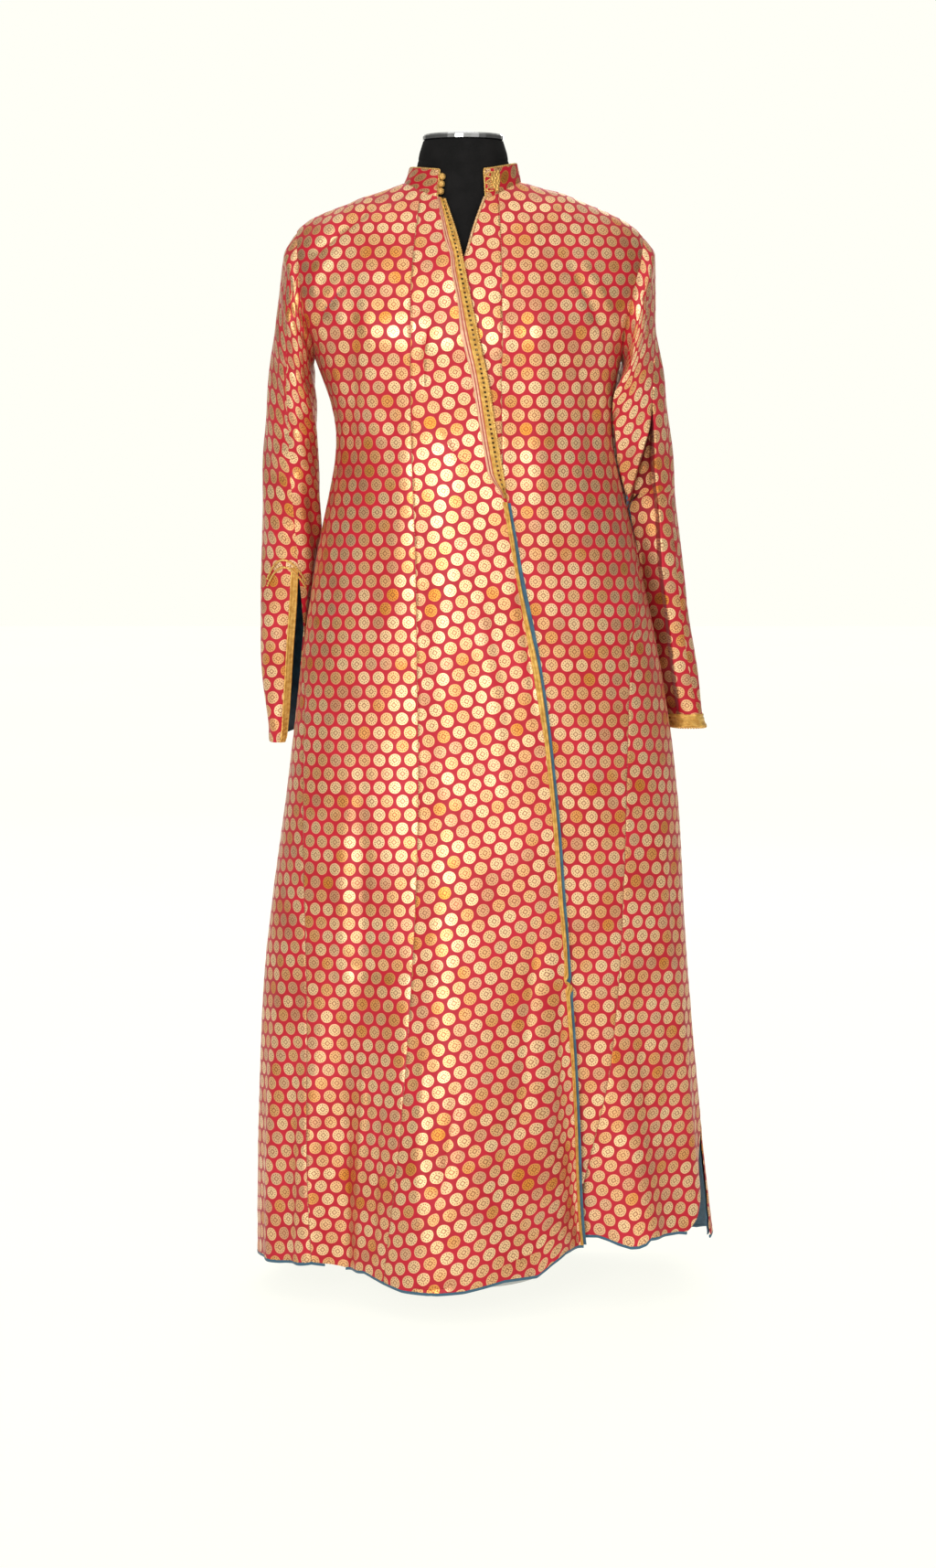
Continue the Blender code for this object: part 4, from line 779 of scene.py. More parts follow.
def side_angle(level):
    """How far from 90 degrees a panel ends at the side: the armhole, or the side seam."""
    share = (level - ARMHOLE_MIDDLE) / ARMHOLE_HALF
    return ARMHOLE_ANGLE * math.sqrt(max(1 - share * share, 0.0))


def gore_angle(side, level, behind=False):
    """How far from 90 degrees a side gore reaches, nothing above its tip."""
    tip = GORE_TIP[side]
    if level > tip:
        return 0.0
    if behind:
        wide = BACK_GORE_ANGLE * (1 - level / tip)
    else:
        wide = (90 - abs(angle_of(side + "_gore", level))) * min(1.0, (tip - level) / 1.2)
    return max(wide, GORE_TIP_ANGLE)


def vent(level):
    return VENT_ANGLE * max(0.0, (VENT_LEVEL - level) / VENT_LEVEL) ** 0.8


# The two edges of each panel at a level, as angles

SPANS = {
    "right_front": lambda v: (
        max(gore_angle("right", v), side_angle(v)) - 90, angle_of("right_seam", v)
    ),
    "left_front": lambda v: (
        angle_of("left_seam", v), 90 - max(gore_angle("left", v), side_angle(v))
    ),
    "right_front_gore": lambda v: (angle_of("right_seam", v), angle_of("overlap_edge", v)),
    "left_front_gore": lambda v: (angle_of("underlap_edge", v), angle_of("left_seam", v)),
    "back": lambda v: (
        90 + max(gore_angle("left", v, True), side_angle(v)),
        270 - max(gore_angle("right", v, True), side_angle(v)),
    ),
    "right_side_front": lambda v: (-90, gore_angle("right", v) - 90),
    "left_side_front": lambda v: (90 - gore_angle("left", v), 90 - vent(v)),
    "left_side_back": lambda v: (
        90 - vent(v) * VENT_BACK_SHARE, 90 + gore_angle("left", v, True)
    ),
    "right_side_back": lambda v: (270 - gore_angle("right", v, True), 270),
    "back_lining": lambda v: (90 - vent(v) * VENT_BACK_SHARE + 0.3, 269.7),
}


# Heights over the robe's surface, as in the solids

def overlap_lift(angle, level):
    start, end = angle_of("right_seam", level), min(-2.0, angle_of("overlap_edge", level))
    near_neck = 0.2 + 0.8 * smooth_step((NECKLINE - level) / 1.7)
    free = 1 + OVERLAP_FREE * smooth_step((angle - 5) / 15) * smooth_step((HIP - level) / HIP)
    return OVERLAP_LIFT * near_neck * free * smooth_step((angle - start) / max(end - start, 4.0))


def underlap_lift(angle, level):
    start = angle_of("left_seam", level)
    near_neck = smooth_step((NECKLINE - level) / 1.7)
    free = 1 + UNDERLAP_FREE * smooth_step((HIP - level) / HIP)
    fallen = smooth_step((start - angle) / max(start - 1.0, 4.0))
    return -UNDERLAP_DROP * near_neck * free * fallen


def lining_lift(angle, level):
    return np.full_like(angle, -(WALL / 2 + TRIM_GAP + FACING_THICKNESS) - WALL / 2)


def no_lift(angle, level):
    return np.zeros_like(angle)


def hem_rise(table, point):
    fade = np.maximum(0.0, 1 - (point[..., 2] - HEM_HEIGHT) / HEM_RISE_HEIGHT) ** 2
    places = np.array(table)
    return fade * np.interp(point[..., 0], places[:, 0], places[:, 1])


# Levels of the fine mesh, about 6 mm apart

def levels_between(low, high):
    levels = list(np.linspace(0, WAIST, 180, endpoint=False))
    levels += list(np.linspace(WAIST, UNDERARM, 18, endpoint=False))
    levels += [armhole_level(math.pi * k / ARMHOLE_ROWS) for k in range(ARMHOLE_ROWS, 0, -1)]
    levels += list(np.linspace(SHOULDER_TIP, NECKLINE, 40))
    inside = [v for v in levels if low <= v <= high]
    if inside[-1] < high:
        inside.append(high)
    return inside


def shares_of(count):
    """Column places from 0 to 1, close together at both seams."""
    edge = (0.0, 0.005, 0.012, 0.022)
    middle = list(np.linspace(0.04, 0.96, count))
    return np.array(list(edge) + middle + [1 - e for e in reversed(edge)])


def arc(points, axis):
    """Lengths along a grid's rows or columns, from its first point."""
    steps = np.linalg.norm(np.diff(points, axis=axis), axis=-1)
    start = np.zeros_like(np.take(steps, [0], axis=axis))
    return np.concatenate((start, np.cumsum(steps, axis=axis)), axis=axis)


# Meshes

def new_object(name, mesh, *materials):
    obj = bpy.data.objects.new(name, mesh)
    bpy.context.scene.collection.objects.link(obj)
    for material in materials:
        mesh.materials.append(material)
    mesh.shade_smooth()
    mesh.set_sharp_from_angle(angle=math.radians(50))
    return obj


def mesh_of(name, points, faces, uv=None, slots=None):
    mesh = bpy.data.meshes.new(name)
    mesh.from_pydata(np.asarray(points).tolist(), [], [list(map(int, f)) for f in faces])
    if uv is not None:
        layer = mesh.uv_layers.new(name="UVMap")
        layer.data.foreach_set("uv", np.asarray(uv, dtype=np.float32).ravel())
    if slots is not None:
        mesh.polygons.foreach_set("material_index", np.asarray(slots, dtype=np.int32))
    mesh.validate()
    mesh.update()
    return mesh


def shell_mesh(name, outer, inner, uv, closed=()):
    """A closed shell between two grids, with its second material on the inner side."""
    rows, columns = outer.shape[:2]
    index = np.arange(rows * columns).reshape(rows, columns)
    for r in closed:
        index[r, columns - 1] = index[r, 0]
    used = np.unique(index)
    place = np.full(rows * columns, -1)
    place[used] = np.arange(len(used))
    index = place[index]
    low, low_next = index[:-1, :-1], index[:-1, 1:]
    high, high_next = index[1:, :-1], index[1:, 1:]
    front = np.stack((low, low_next, high_next, high), axis=-1).reshape(-1, 4)
    back = front[:, ::-1] + len(used)
    loop_uv = np.stack((uv[:-1, :-1], uv[:-1, 1:], uv[1:, 1:], uv[1:, :-1]), axis=2)
    loop_uv = loop_uv.reshape(-1, 4, 2)
    edges = {}
    for face, face_uv in zip(front.tolist(), loop_uv):
        for k in range(4):
            edges[face[k], face[(k + 1) % 4]] = (face_uv[k], face_uv[(k + 1) % 4])
    rim, rim_uv = [], []
    for (a, b), (uv_a, uv_b) in edges.items():
        if (b, a) not in edges:
            rim.append((b, a, a + len(used), b + len(used)))
            rim_uv.append((uv_b, uv_a, uv_a, uv_b))
    points = np.concatenate((outer.reshape(-1, 3)[used], inner.reshape(-1, 3)[used]))
    faces = np.concatenate((front, back, np.array(rim)))
    uvs = np.concatenate((loop_uv, loop_uv[:, ::-1], np.array(rim_uv)))
    slots = [0] * len(front) + [1] * len(back) + [0] * len(rim)
    return mesh_of(name, points, faces, uvs.reshape(-1, 2), slots)


def turned_uv(u, v, degrees):
    c, s = math.cos(math.radians(degrees)), math.sin(math.radians(degrees))
    return np.stack((u * c + v * s, v * c - u * s), axis=-1)


def panel(name, columns, lift, drop, grain, reference, top=NECKLINE):
    """A cloth panel. grain turns its pattern, reference is the column that it runs along."""
    levels = levels_between(0.0, top)
    shares = shares_of(columns)
    rows = []
    for level in levels:
        start, end = SPANS[name](float(level))
        angles = start + (end - start) * shares
        point, normal = robe_frame(angles, level)
        if drop is not None:
            point[:, 2] += hem_rise(drop, point)
        rows.append((point, normal, lift(angles, level)))
    middle, normals, heights = (np.array([row[k] for row in rows]) for k in range(3))
    across = arc(middle, 1)
    from_edge = np.minimum(across, across[:, -1:] - across)
    sunk = SEAM_DEPTH * (1 - smooth_step(from_edge / SEAM_REACH))
    along = arc(middle, 0)
    pucker = PUCKER * np.sin(along * 190 + 5 * np.sin(along * 37)) * np.exp(-from_edge / 0.012)
    heights = heights - sunk + pucker
    outer = middle + normals * (heights + WALL / 2)[..., None]
    inner = outer - normals * CLOTH
    column = int(round(reference * (len(shares) - 1)))
    waist = int(np.argmin([abs(v - min(WAIST, levels[-1])) for v in levels]))
    u, v = cut_places(middle, normals, column, waist)
    straight = along[:, column:column + 1] - along[waist, column]
    below = np.arange(len(levels))[:, None] < waist
    own = across - across[:, column:column + 1]
    u = np.where(below, own + (u - own)[waist], u)
    v = np.where(below, straight + v[waist], v)
    mesh = shell_mesh(name + "_cloth", outer, inner, turned_uv(u, v, grain))
    free = FREE_EDGES.get(name, (9.0, 9.0))
    left = np.exp(-((across / SEAM_LINE) ** 2)) * (free[0] > 0)
    right = np.exp(-(((across[:, -1:] - across) / SEAM_LINE) ** 2)) * (free[1] > 0)
    seam_attribute(mesh, np.maximum(left, right) * (np.array(levels) <= NECKLINE)[:, None])
    obj = new_object(name + "_cloth", mesh, BROCADE, LINING)
    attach(obj, "root")
    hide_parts(name)
    return obj


def seam_attribute(mesh, values):
    """Notes how near a point is to a seam, for the material's line of stitches."""
    layer = mesh.attributes.new("seam", "FLOAT", "POINT")
    flat = values.ravel()
    whole = np.zeros(len(mesh.vertices), dtype=np.float32)
    half = len(whole) // 2
    whole[:half] = flat[:half]
    layer.data.foreach_set("value", whole)


def cut_places(points, normals, column, waist):
    """Places on the flat cloth in metres: across and up, from a column's place at the waist."""
    around = np.cross((0.0, 0.0, 1.0), normals)
    around /= np.linalg.norm(around, axis=-1, keepdims=True)
    up = np.cross(normals, around)

    def along_axis(axis):
        step = np.diff(points, axis=axis)
        first = [slice(None)] * 2
        second = [slice(None)] * 2
        first[axis], second[axis] = slice(None, -1), slice(1, None)
        parts = []
        for direction in (around, up):
            middle = direction[tuple(first)] + direction[tuple(second)]
            middle /= np.linalg.norm(middle, axis=-1, keepdims=True)
            amount = np.cumsum((step * middle).sum(axis=-1), axis=axis)
            start = np.zeros_like(np.take(amount, [0], axis=axis))
            parts.append(np.concatenate((start, amount), axis=axis))
        return parts

    row_u, row_v = along_axis(1)
    column_u, column_v = along_axis(0)
    u = row_u - row_u[:, column:column + 1] + column_u[:, column:column + 1] - column_u[waist, column]
    v = row_v - row_v[:, column:column + 1] + column_v[:, column:column + 1] - column_v[waist, column]
    return u, v


# Sleeves

@functools.lru_cache(maxsize=None)
def armhole_point(side, turn):
    """The armhole's edge at a turn in degrees, 0 at the shoulder and 90 at the front."""
    sign = 1 if side == "left" else -1
    angle = math.radians(turn)
    level = armhole_level(angle)
    away = side_angle(level)
    front = math.sin(angle) > 0
    return robe_points(sign * (90 - away if front else 90 + away), level)


def beside_skirt(sign, y, z):
    """How far out a sleeve keeps from the neck's axis to clear the robe's side."""
    heights = [row[0] for row in SECTIONS[: UNDERARM + 1]]
    level = np.interp(z, heights, range(UNDERARM + 1))
    reach = []
    for one_y, one_level in zip(y, level):
        section = row_at("sections", round(float(one_level), 3))
        share = min(abs(one_y) / section["front" if one_y < 0 else "back"], 1.0)
        half = section["left"] if sign > 0 else section["right"]
        reach.append(half * (1 - share ** section["square"]) ** (1 / section["square"]))
    return np.where(z < heights[-1], np.array(reach) + BODY_CLEARANCE, 0.0)


def groove_depth(side, turn, ring):
    total = np.zeros_like(turn)
    for values in GROOVES[side]:
        groove = dict(zip(GROOVE_COLUMNS, values))
        away = np.abs((turn - groove["turn"] + 180) % 360 - 180) / groove["half_turn"]
        grown = smooth_step((ring - groove["start"]) / (groove["full"] - groove["start"]))
        total += groove["depth"] * grown * np.cos(np.minimum(away, 1.0) * math.pi / 2) ** 2
    return total


def sleeve_ring(side, turn, ring):
    """Points of a sleeve below its head, at turns in degrees."""
    sign = 1 if side == "left" else -1
    angle = np.radians(turn)
    row = row_at(side, max(ring - 1, 0.0))
    outer = np.array((sign * row["x_out"], row["y_out"], row["z_out"]))
    inner = np.array((sign * row["x_in"], row["y_in"], row["z_in"]))
    axis = (outer - inner) / 2
    flat = np.array((-sign * abs(axis[1]), -abs(axis[0]), 0.0))
    yaw = smooth_step((ring - 1) / 5)
    front = np.array((0.0, -1.0, 0.0)) * (1 - yaw) + flat / np.linalg.norm(flat) * yaw
    front /= np.linalg.norm(front)
    middle = (outer + inner) / 2
    point = middle + np.cos(angle)[:, None] * axis
    point = point + np.sin(angle)[:, None] * front * row["depth"]
    inward = middle - point
    inward /= np.linalg.norm(inward, axis=-1, keepdims=True)
    point = point + inward * groove_depth(side, turn, ring)[:, None]
    beside = beside_skirt(sign, point[:, 1], point[:, 2])
    x = np.maximum(np.abs(point[:, 0]), beside)
    if side == "left":
        near = smooth_step(-np.cos(angle) * 2) * smooth_step((point[:, 2] - DRAWN_FROM) / DRAWN_SLOPE)
        near = near * smooth_step((SECTIONS[UNDERARM][0] - point[:, 2]) / UNDERARM_SLOPE)
        x = x - near * np.where(beside > 0, np.clip(x - beside, 0, MOST_DRAWN), 0)
    point[:, 0] = sign * x
    return point


def sleeve_points(side, turn, ring):
    """A row of points around a sleeve. Its head curves from the armhole into the first ring."""
    if ring >= 1:
        return sleeve_ring(side, turn, ring)
    start = np.array([armhole_point(side, round(float(a) % 360, 4)) for a in turn])
    first, second = sleeve_ring(side, turn, 1.0), sleeve_ring(side, turn, 2.0)
    t, leave, arrive = ring, first - start, (second - first) / 2
    return (
        (2 * t**3 - 3 * t**2 + 1) * start + (t**3 - 2 * t**2 + t) * leave
        + (3 * t**2 - 2 * t**3) * first + (t**3 - t**2) * arrive
    )


def slit_edges(side, ring):
    """The turns at which the sleeve's cloth ends at the slit, equal where it is closed."""
    if side == "left" or ring <= SLIT_RING:
        return SLIT_TURN, SLIT_TURN
    share = (ring - SLIT_RING) / (SLEEVE_RINGS - SLIT_RING)
    front = SLIT_TURN + (SLIT_FRONT_TURN - SLIT_TURN) * share
    back = SLIT_TURN + (SLIT_BACK_TURN - SLIT_TURN) * share
    return front, back


FOLD_INNER_SLOPE, FOLD_OUTER_SLOPE = 0.006, 0.002
FOLD_FOOT, FOLD_FOOT_SLOPE = 0.700, 0.022
FOLD_SHARE_OF_DEPTH = 0.7
LEAST_FOLD_TURNS = 12.0

# How far the left sleeve's inner side is drawn to the body, and where that starts and ends

MOST_DRAWN = 0.012
DRAWN_FROM, DRAWN_SLOPE, UNDERARM_SLOPE = 0.98, 0.04, 0.06


def recess_borders(z):
    """The inner and outer border, as x, of the left sleeve's deep fold at a height."""
    places = np.array(RECESS)[::-1]
    return np.interp(z, places[:, 0], places[:, 1]), np.interp(z, places[:, 0], places[:, 2])


def recess_turns(ring):
    """The turns at which a ring of the left sleeve meets the fold's outer and inner border."""
    turns = np.linspace(0, 180, 181)
    points = sleeve_points("left", turns, ring)
    low, high = recess_borders(points[:, 2])
    outer = float(turns[np.argmax(points[:, 0] < high)])
    inner = float(turns[np.argmax(points[:, 0] < low)]) if (points[:, 0] < low).any() else 180.0
    outer = min(max(outer, LEAST_FOLD_TURNS), 120.0)
    return outer, min(max(inner, outer + LEAST_FOLD_TURNS), 165.0)


def recess(points, turns, ring):
    """How deep each point of a ring is in the fold, from 0 to 1, and how far it moves back."""
    low, high = recess_borders(points[:, 2])
    share = smooth_step((points[:, 0] - low) / FOLD_INNER_SLOPE)
    share = share * smooth_step((high - points[:, 0]) / FOLD_OUTER_SLOPE)
    share = share * smooth_step((points[:, 2] - FOLD_FOOT) / FOLD_FOOT_SLOPE)
    share = share * (np.sin(np.radians(turns)) > 0.05)
    back = sleeve_points("left", np.linspace(180, 360, 91), ring)
    order = np.argsort(back[:, 0])
    thick = np.interp(points[:, 0], back[order, 0], back[order, 1]) - points[:, 1]
    return share, FOLD_SHARE_OF_DEPTH * np.maximum(thick, 0) * share


def sleeve_grid(side, rings, turns_of, folds=None):
    """Points and outward directions over a sleeve, from the cuff up.

    Where a list of folds is given, it gathers how far each point moves back in the deep fold.
    """
    sign = 1 if side == "left" else -1
    rows, directions = [], []
    for ring in rings:
        turn = turns_of(ring)
        wide = np.concatenate(([turn[0] - 2.0], turn, [turn[-1] + 2.0]))
        points = sleeve_points(side, wide, ring)
        low, high = max(ring - 0.08, 0.0), min(ring + 0.08, float(SLEEVE_RINGS))
        down = sleeve_points(side, turn, high) - sleeve_points(side, turn, low)
        across = np.cross(points[2:] - points[:-2], down) * sign
        across /= np.linalg.norm(across, axis=-1, keepdims=True)
        place = points[1:-1]
        facing = smooth_step(-across[:, 1] * 4)
        if folds is not None:
            share, depth = recess(place, turn, ring)
            folds.append(depth)
            facing = facing * (1 - share)
        crease = crease_height(side + "_sleeve", place[:, 0], place[:, 2]) * facing
        behind = smooth_step(across[:, 1] * 4)
        crease += crease_height(side + "_sleeve_back", place[:, 0], place[:, 2]) * behind
        soft = 0.0009 * np.sin(np.radians(turn) * 3 + ring * 1.9)
        soft += 0.0007 * np.sin(np.radians(turn) * 5 - ring * 3.1 + 1)
        crease += soft * min(1.0, ring / 1.5) * min(1.0, (SLEEVE_RINGS - ring) / 0.8 + 0.15)
        rows.append(place + across * crease[:, None])
        directions.append(across)
    order = slice(None, None, -1)
    points, directions = np.array(rows)[order], np.array(directions)[order]
    if side == "left":
        points, directions = points[:, order], directions[:, order]
    return points, directions


def true_normals(points, guide):
    """Directions square to a grid of points, on the same side as the guiding ones."""
    normals = np.cross(np.gradient(points, axis=1), np.gradient(points, axis=0))
    normals /= np.linalg.norm(normals, axis=-1, keepdims=True)
    return normals * np.sign((normals * guide).sum(axis=-1).mean())


def sleeve(side):
    rings = np.concatenate((np.linspace(0, 1, 10, endpoint=False), np.linspace(1, SLEEVE_RINGS, 110)))
    slit = np.array([ring > SLIT_RING and side == "right" for ring in rings])
    columns = 96

    def turns_of(ring):
        if side == "left":
            outer, inner = recess_turns(ring)
            knots = (0, outer - 3, outer + 3, inner - 3, inner + 6, 180, 360)
            return np.interp(np.linspace(0, 1, columns), (0, 0.13, 0.20, 0.32, 0.40, 0.52, 1), knots)
        front, back = slit_edges(side, ring)
        return np.linspace(back, front + 360, columns)

    folds = [] if side == "left" else None
    middle, normals = sleeve_grid(side, rings, turns_of, folds)
    unfolded = middle.copy()
    along = arc(middle[::-1], 0)[::-1]
    u = arc(middle, 1)
    u = u - u[:, columns // 2:columns // 2 + 1]
    v = -along.mean(axis=1, keepdims=True) + np.zeros_like(u)
    if side == "left":
        middle[..., 1] += np.array(folds)[::-1, ::-1]
        normals = true_normals(middle, normals)
    head = SEAM_DEPTH * 1.5 * (1 - smooth_step(along / 0.006))
    heights = WALL / 2 - head
    outer = middle + normals * heights[..., None]
    inner = outer - normals * CLOTH
    closed = [r for r, open_here in enumerate(slit[::-1]) if not open_here]
    mesh = shell_mesh(side + "_sleeve_cloth", outer, inner, turned_uv(u, v, SLEEVE_GRAIN[side]), closed)
    obj = new_object(side + "_sleeve_cloth", mesh, BROCADE, LINING)
    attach(obj, "root")
    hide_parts(side + "_sleeve")


def sleeve_strip(name, side, rings, turns_of, profile, material, node, flip=False, u_down=False):
    """A trim over a sleeve. profile(across, along) gives its height in metres."""
    middle, normals = sleeve_grid(side, rings, turns_of)
    along, across = arc(middle, 0), arc(middle, 1)
    if u_down:
        u, v = along, across
    else:
        u, v = across, along
    if flip:
        u = u.max(axis=0 if u_down else 1, keepdims=True) - u
    top = middle + normals * (WALL / 2 + 0.0002 + profile(u, v))[..., None]
    bottom = middle + normals * (WALL / 2 - 0.0003)
    mesh = shell_mesh(name, top, bottom, np.stack((u, v), axis=-1))
    obj = new_object(name, mesh, material, material)
    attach(obj, "root")
    if node:
        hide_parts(node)
    return obj


# Trims

def ridge(across, centre, half, height):
    return height * np.cos(np.clip((across - centre) / half, -1, 1) * math.pi / 2)


def edge_levels(low, high, step):
    """Levels between two, evenly apart along the overlap's edge."""
    rough = np.linspace(low, high, 240)
    points = np.array([robe_points(angle_of("overlap_edge", v), v, False) for v in rough])
    length = np.concatenate(([0], np.cumsum(np.linalg.norm(np.diff(points, axis=0), axis=1))))
    return np.interp(np.arange(0, length[-1], step), length, rough)


def strip_on_overlap(name, levels, offsets, profile, material, node, under=False):
    """A trim along the overlap's edge. offsets are metres inward from the edge."""
    rows, directions, lifts = [], [], []
    for level in levels:
        edge = angle_of("overlap_edge", level)
        near = robe_points([edge - 0.5, edge + 0.5], level, False)
        per_metre = 1 / np.linalg.norm(near[1] - near[0])
        share = braid_share(level) if name == "front_braid_gold" else 1.0
        angles = edge - offsets * share * per_metre
        point, normal = robe_frame(angles, level)
        point[:, 2] += hem_rise(RIGHT_HEM, point)
        rows.append(point)
        directions.append(normal)
        lifts.append(overlap_lift(np.minimum(angles, edge), level))
    middle, normals, lifts = np.array(rows), np.array(directions), np.array(lifts)
    v = arc(middle, 0)[:, :1] + np.zeros((1, len(offsets)))
    u = np.broadcast_to(offsets, v.shape)
    if under:
        top = middle + normals * (lifts - WALL / 2 - 0.0002)[..., None]
        bottom = top - normals * 0.0009
    else:
        top = middle + normals * (lifts + WALL / 2 + 0.0002 + profile(u, v))[..., None]
        bottom = middle + normals * (lifts + WALL / 2 - 0.0003)[..., None]
    mesh = shell_mesh(name, top, bottom, np.stack((u, v), axis=-1))
    obj = new_object(name, mesh, material, material)
    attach(obj, "root")
    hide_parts(node)
    return obj


def braid_share(level):
    """The braid widens below the collar and comes to a point at the waist."""
    top = 0.58 + 0.42 * smooth_step((NECKLINE - level) / 1.5)
    foot = 0.30 + 0.70 * smooth_step((level - BRAID_FOOT_LEVEL) / 0.22)
    return float(top * foot)


def braid_profile(u, v):
    """Ridges along the braid, a row of small holes, and the pale band beside it."""
    height = 0.0009 + 0 * u
    height = height + ridge(u, 0.0028, 0.0014, 0.0011) + ridge(u, 0.0066, 0.0014, 0.0010)
    height = height + ridge(u, 0.0092, 0.0012, 0.0007)
    height = height + ridge(u, 0.0124, 0.0013, 0.0007) + ridge(u, 0.0153, 0.0012, 0.0007)
    hole = np.cos(v / DOT_STEP * 2 * math.pi)
    dip = np.exp(-((u - 0.0047) / 0.0009) ** 2) * smooth_step(hole * 1.5)
    thread = 0.00012 * np.sin(2 * math.pi * (v + u * 1.2) / 0.0011)
    return height - 0.0011 * dip + thread


def band_profile(u, v):
    twist = 0.00015 * np.sin(2 * math.pi * (v + u) / 0.0016)
    return 0.0004 + ridge(u, 0.0014, 0.0013, 0.0011) + ridge(u, 0.0042, 0.0013, 0.0010) + twist


def rope(
    name, path, radius, lobes=3, pitch=0.005, material=None, node=None,
    step=0.0006, sides=12,
):
    """A twisted cord along a line of points, with closed ends."""
    path = np.asarray(path, dtype=float)
    length = np.concatenate(([0], np.cumsum(np.linalg.norm(np.diff(path, axis=0), axis=1))))
    at = np.linspace(0, length[-1], max(4, int(length[-1] / step)))
    line = np.stack([np.interp(at, length, path[:, k]) for k in range(3)], axis=1)
    along = np.gradient(line, axis=0)
    along /= np.linalg.norm(along, axis=1, keepdims=True)
    side = np.cross(along, (0.31, 0.17, 0.93))
    side /= np.linalg.norm(side, axis=1, keepdims=True)
    other = np.cross(along, side)
    turn = np.linspace(0, 2 * math.pi, sides, endpoint=False)
    size = radius * (1 + 0.16 * np.cos(lobes * (turn[None] - 2 * math.pi * at[:, None] / (pitch * lobes))))
    ring = side[:, None] * np.cos(turn)[None, :, None] + other[:, None] * np.sin(turn)[None, :, None]
    points = (line[:, None] + ring * size[..., None]).reshape(-1, 3)
    rows, faces = len(at), []
    for r in range(rows - 1):
        for c in range(sides):
            a, b = r * sides + c, r * sides + (c + 1) % sides
            faces.append((a, b, b + sides, a + sides))
    faces.append(tuple(reversed(range(sides))))
    faces.append(tuple(range((rows - 1) * sides, rows * sides)))
    mesh = mesh_of(name, points, faces)
    return finish_trim(name, mesh, material or GOLD_CORD, node)


def finish_trim(name, mesh, material, node=None):
    obj = new_object(name, mesh, material)
    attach(obj, "root")
    if node:
        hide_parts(node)
    return obj


def beads(name, places, radius, material, flat=1.0):
    """Small round beads in one mesh."""
    unit, quads = [], []
    rows, sides = 5, 8
    for r in range(rows + 1):
        tilt = math.pi * r / rows
        for c in range(sides):
            a = 2 * math.pi * c / sides
            unit.append((math.sin(tilt) * math.cos(a), math.sin(tilt) * math.sin(a), math.cos(tilt)))
    for r in range(rows):
        for c in range(sides):
            a, b = r * sides + c, r * sides + (c + 1) % sides
            quads.append((a, a + sides, b + sides, b))
    unit = np.array(unit) * (1, flat, 1)
    points, faces = [], []
    for place in places:
        start = len(points) * len(unit)
        points.append(np.asarray(place) + unit * radius)
        faces += [tuple(i + start for i in quad) for quad in quads]
    mesh = mesh_of(name, np.concatenate(points), faces)
    merge(mesh)
    return finish_trim(name, mesh, material)


def merge(mesh):
    """Joins the poles' doubled points."""
    work = bmesh.new()
    work.from_mesh(mesh)
    bmesh.ops.remove_doubles(work, verts=work.verts, dist=1e-6)
    work.to_mesh(mesh)
    work.free()


def hem_piping(name, spans, lift, drop, node, skip=None):
    """A rounded binding under a hem, left out where skip says."""
    pieces = []
    for start, end in spans:
        angles = np.linspace(start, end, max(8, int(abs(end - start) * 4)))
        point, normal = robe_frame(angles, 0.0)
        point[:, 2] += hem_rise(drop, point)
        point = point + normal * lift(angles, 0.0)[:, None]
        pieces.append((point, normal))
    point = np.concatenate([p for p, n in pieces])
    normal = np.concatenate([n for p, n in pieces])
    turn = np.linspace(0, 2 * math.pi, 14, endpoint=False)
    down = np.array((0.0, 0.0, -1.0))
    centre = point + down * PIPING_HEIGHT * 0.45
    ring = normal[:, None] * np.cos(turn)[None, :, None] * PIPING_THICKNESS * 0.55
    ring = ring + down * np.sin(turn)[None, :, None] * PIPING_HEIGHT * 0.62
    points = (centre[:, None] + ring).reshape(-1, 3)
    faces, sides, rows = [], len(turn), len(point)
    keep = [not (skip and skip[0] < p[0] < skip[1]) for p in point]
    for r in range(rows - 1):
        if not (keep[r] and keep[r + 1]):
            continue
        for c in range(sides):
            a, b = r * sides + c, r * sides + (c + 1) % sides
            faces.append((a, b, b + sides, a + sides))
        if r == 0 or not keep[r - 1]:
            faces.append(tuple(reversed(range(r * sides, (r + 1) * sides))))
        if r + 2 == rows or not keep[r + 2]:
            faces.append(tuple(range((r + 1) * sides, (r + 2) * sides)))
    mesh = mesh_of(name, points, faces)
    work = bmesh.new()
    work.from_mesh(mesh)
    bmesh.ops.delete(work, geom=[v for v in work.verts if not v.link_faces], context="VERTS")
    bmesh.ops.recalc_face_normals(work, faces=work.faces)
    work.to_mesh(mesh)
    work.free()
    return finish_trim(name, mesh, LINING, node)


# Collar

def collar_frame(angle, share):
    """Points and outward directions on the standing collar."""
    angle = np.asarray(angle, dtype=float)

    def place(a, s):
        low = dict(zip(SECTION_COLUMNS, SECTIONS[NECKLINE]))
        high = dict(zip(SECTION_COLUMNS, COLLAR_TOP))
        bottom, top = section_points(low, a), section_points(high, a)
        return bottom + (top - bottom) * s

    around = place(angle + 1, share) - place(angle - 1, share)
    up = place(angle, share + 0.1) - place(angle, share - 0.1)
    across = np.cross(around, up)
    return place(angle, share), across / np.linalg.norm(across, axis=-1, keepdims=True)


COLLAR_START = math.degrees(math.asin(COLLAR_LEFT_END / SECTIONS[NECKLINE][5]))
COLLAR_END = 360 - math.degrees(math.asin(COLLAR_RIGHT_END / SECTIONS[NECKLINE][4]))


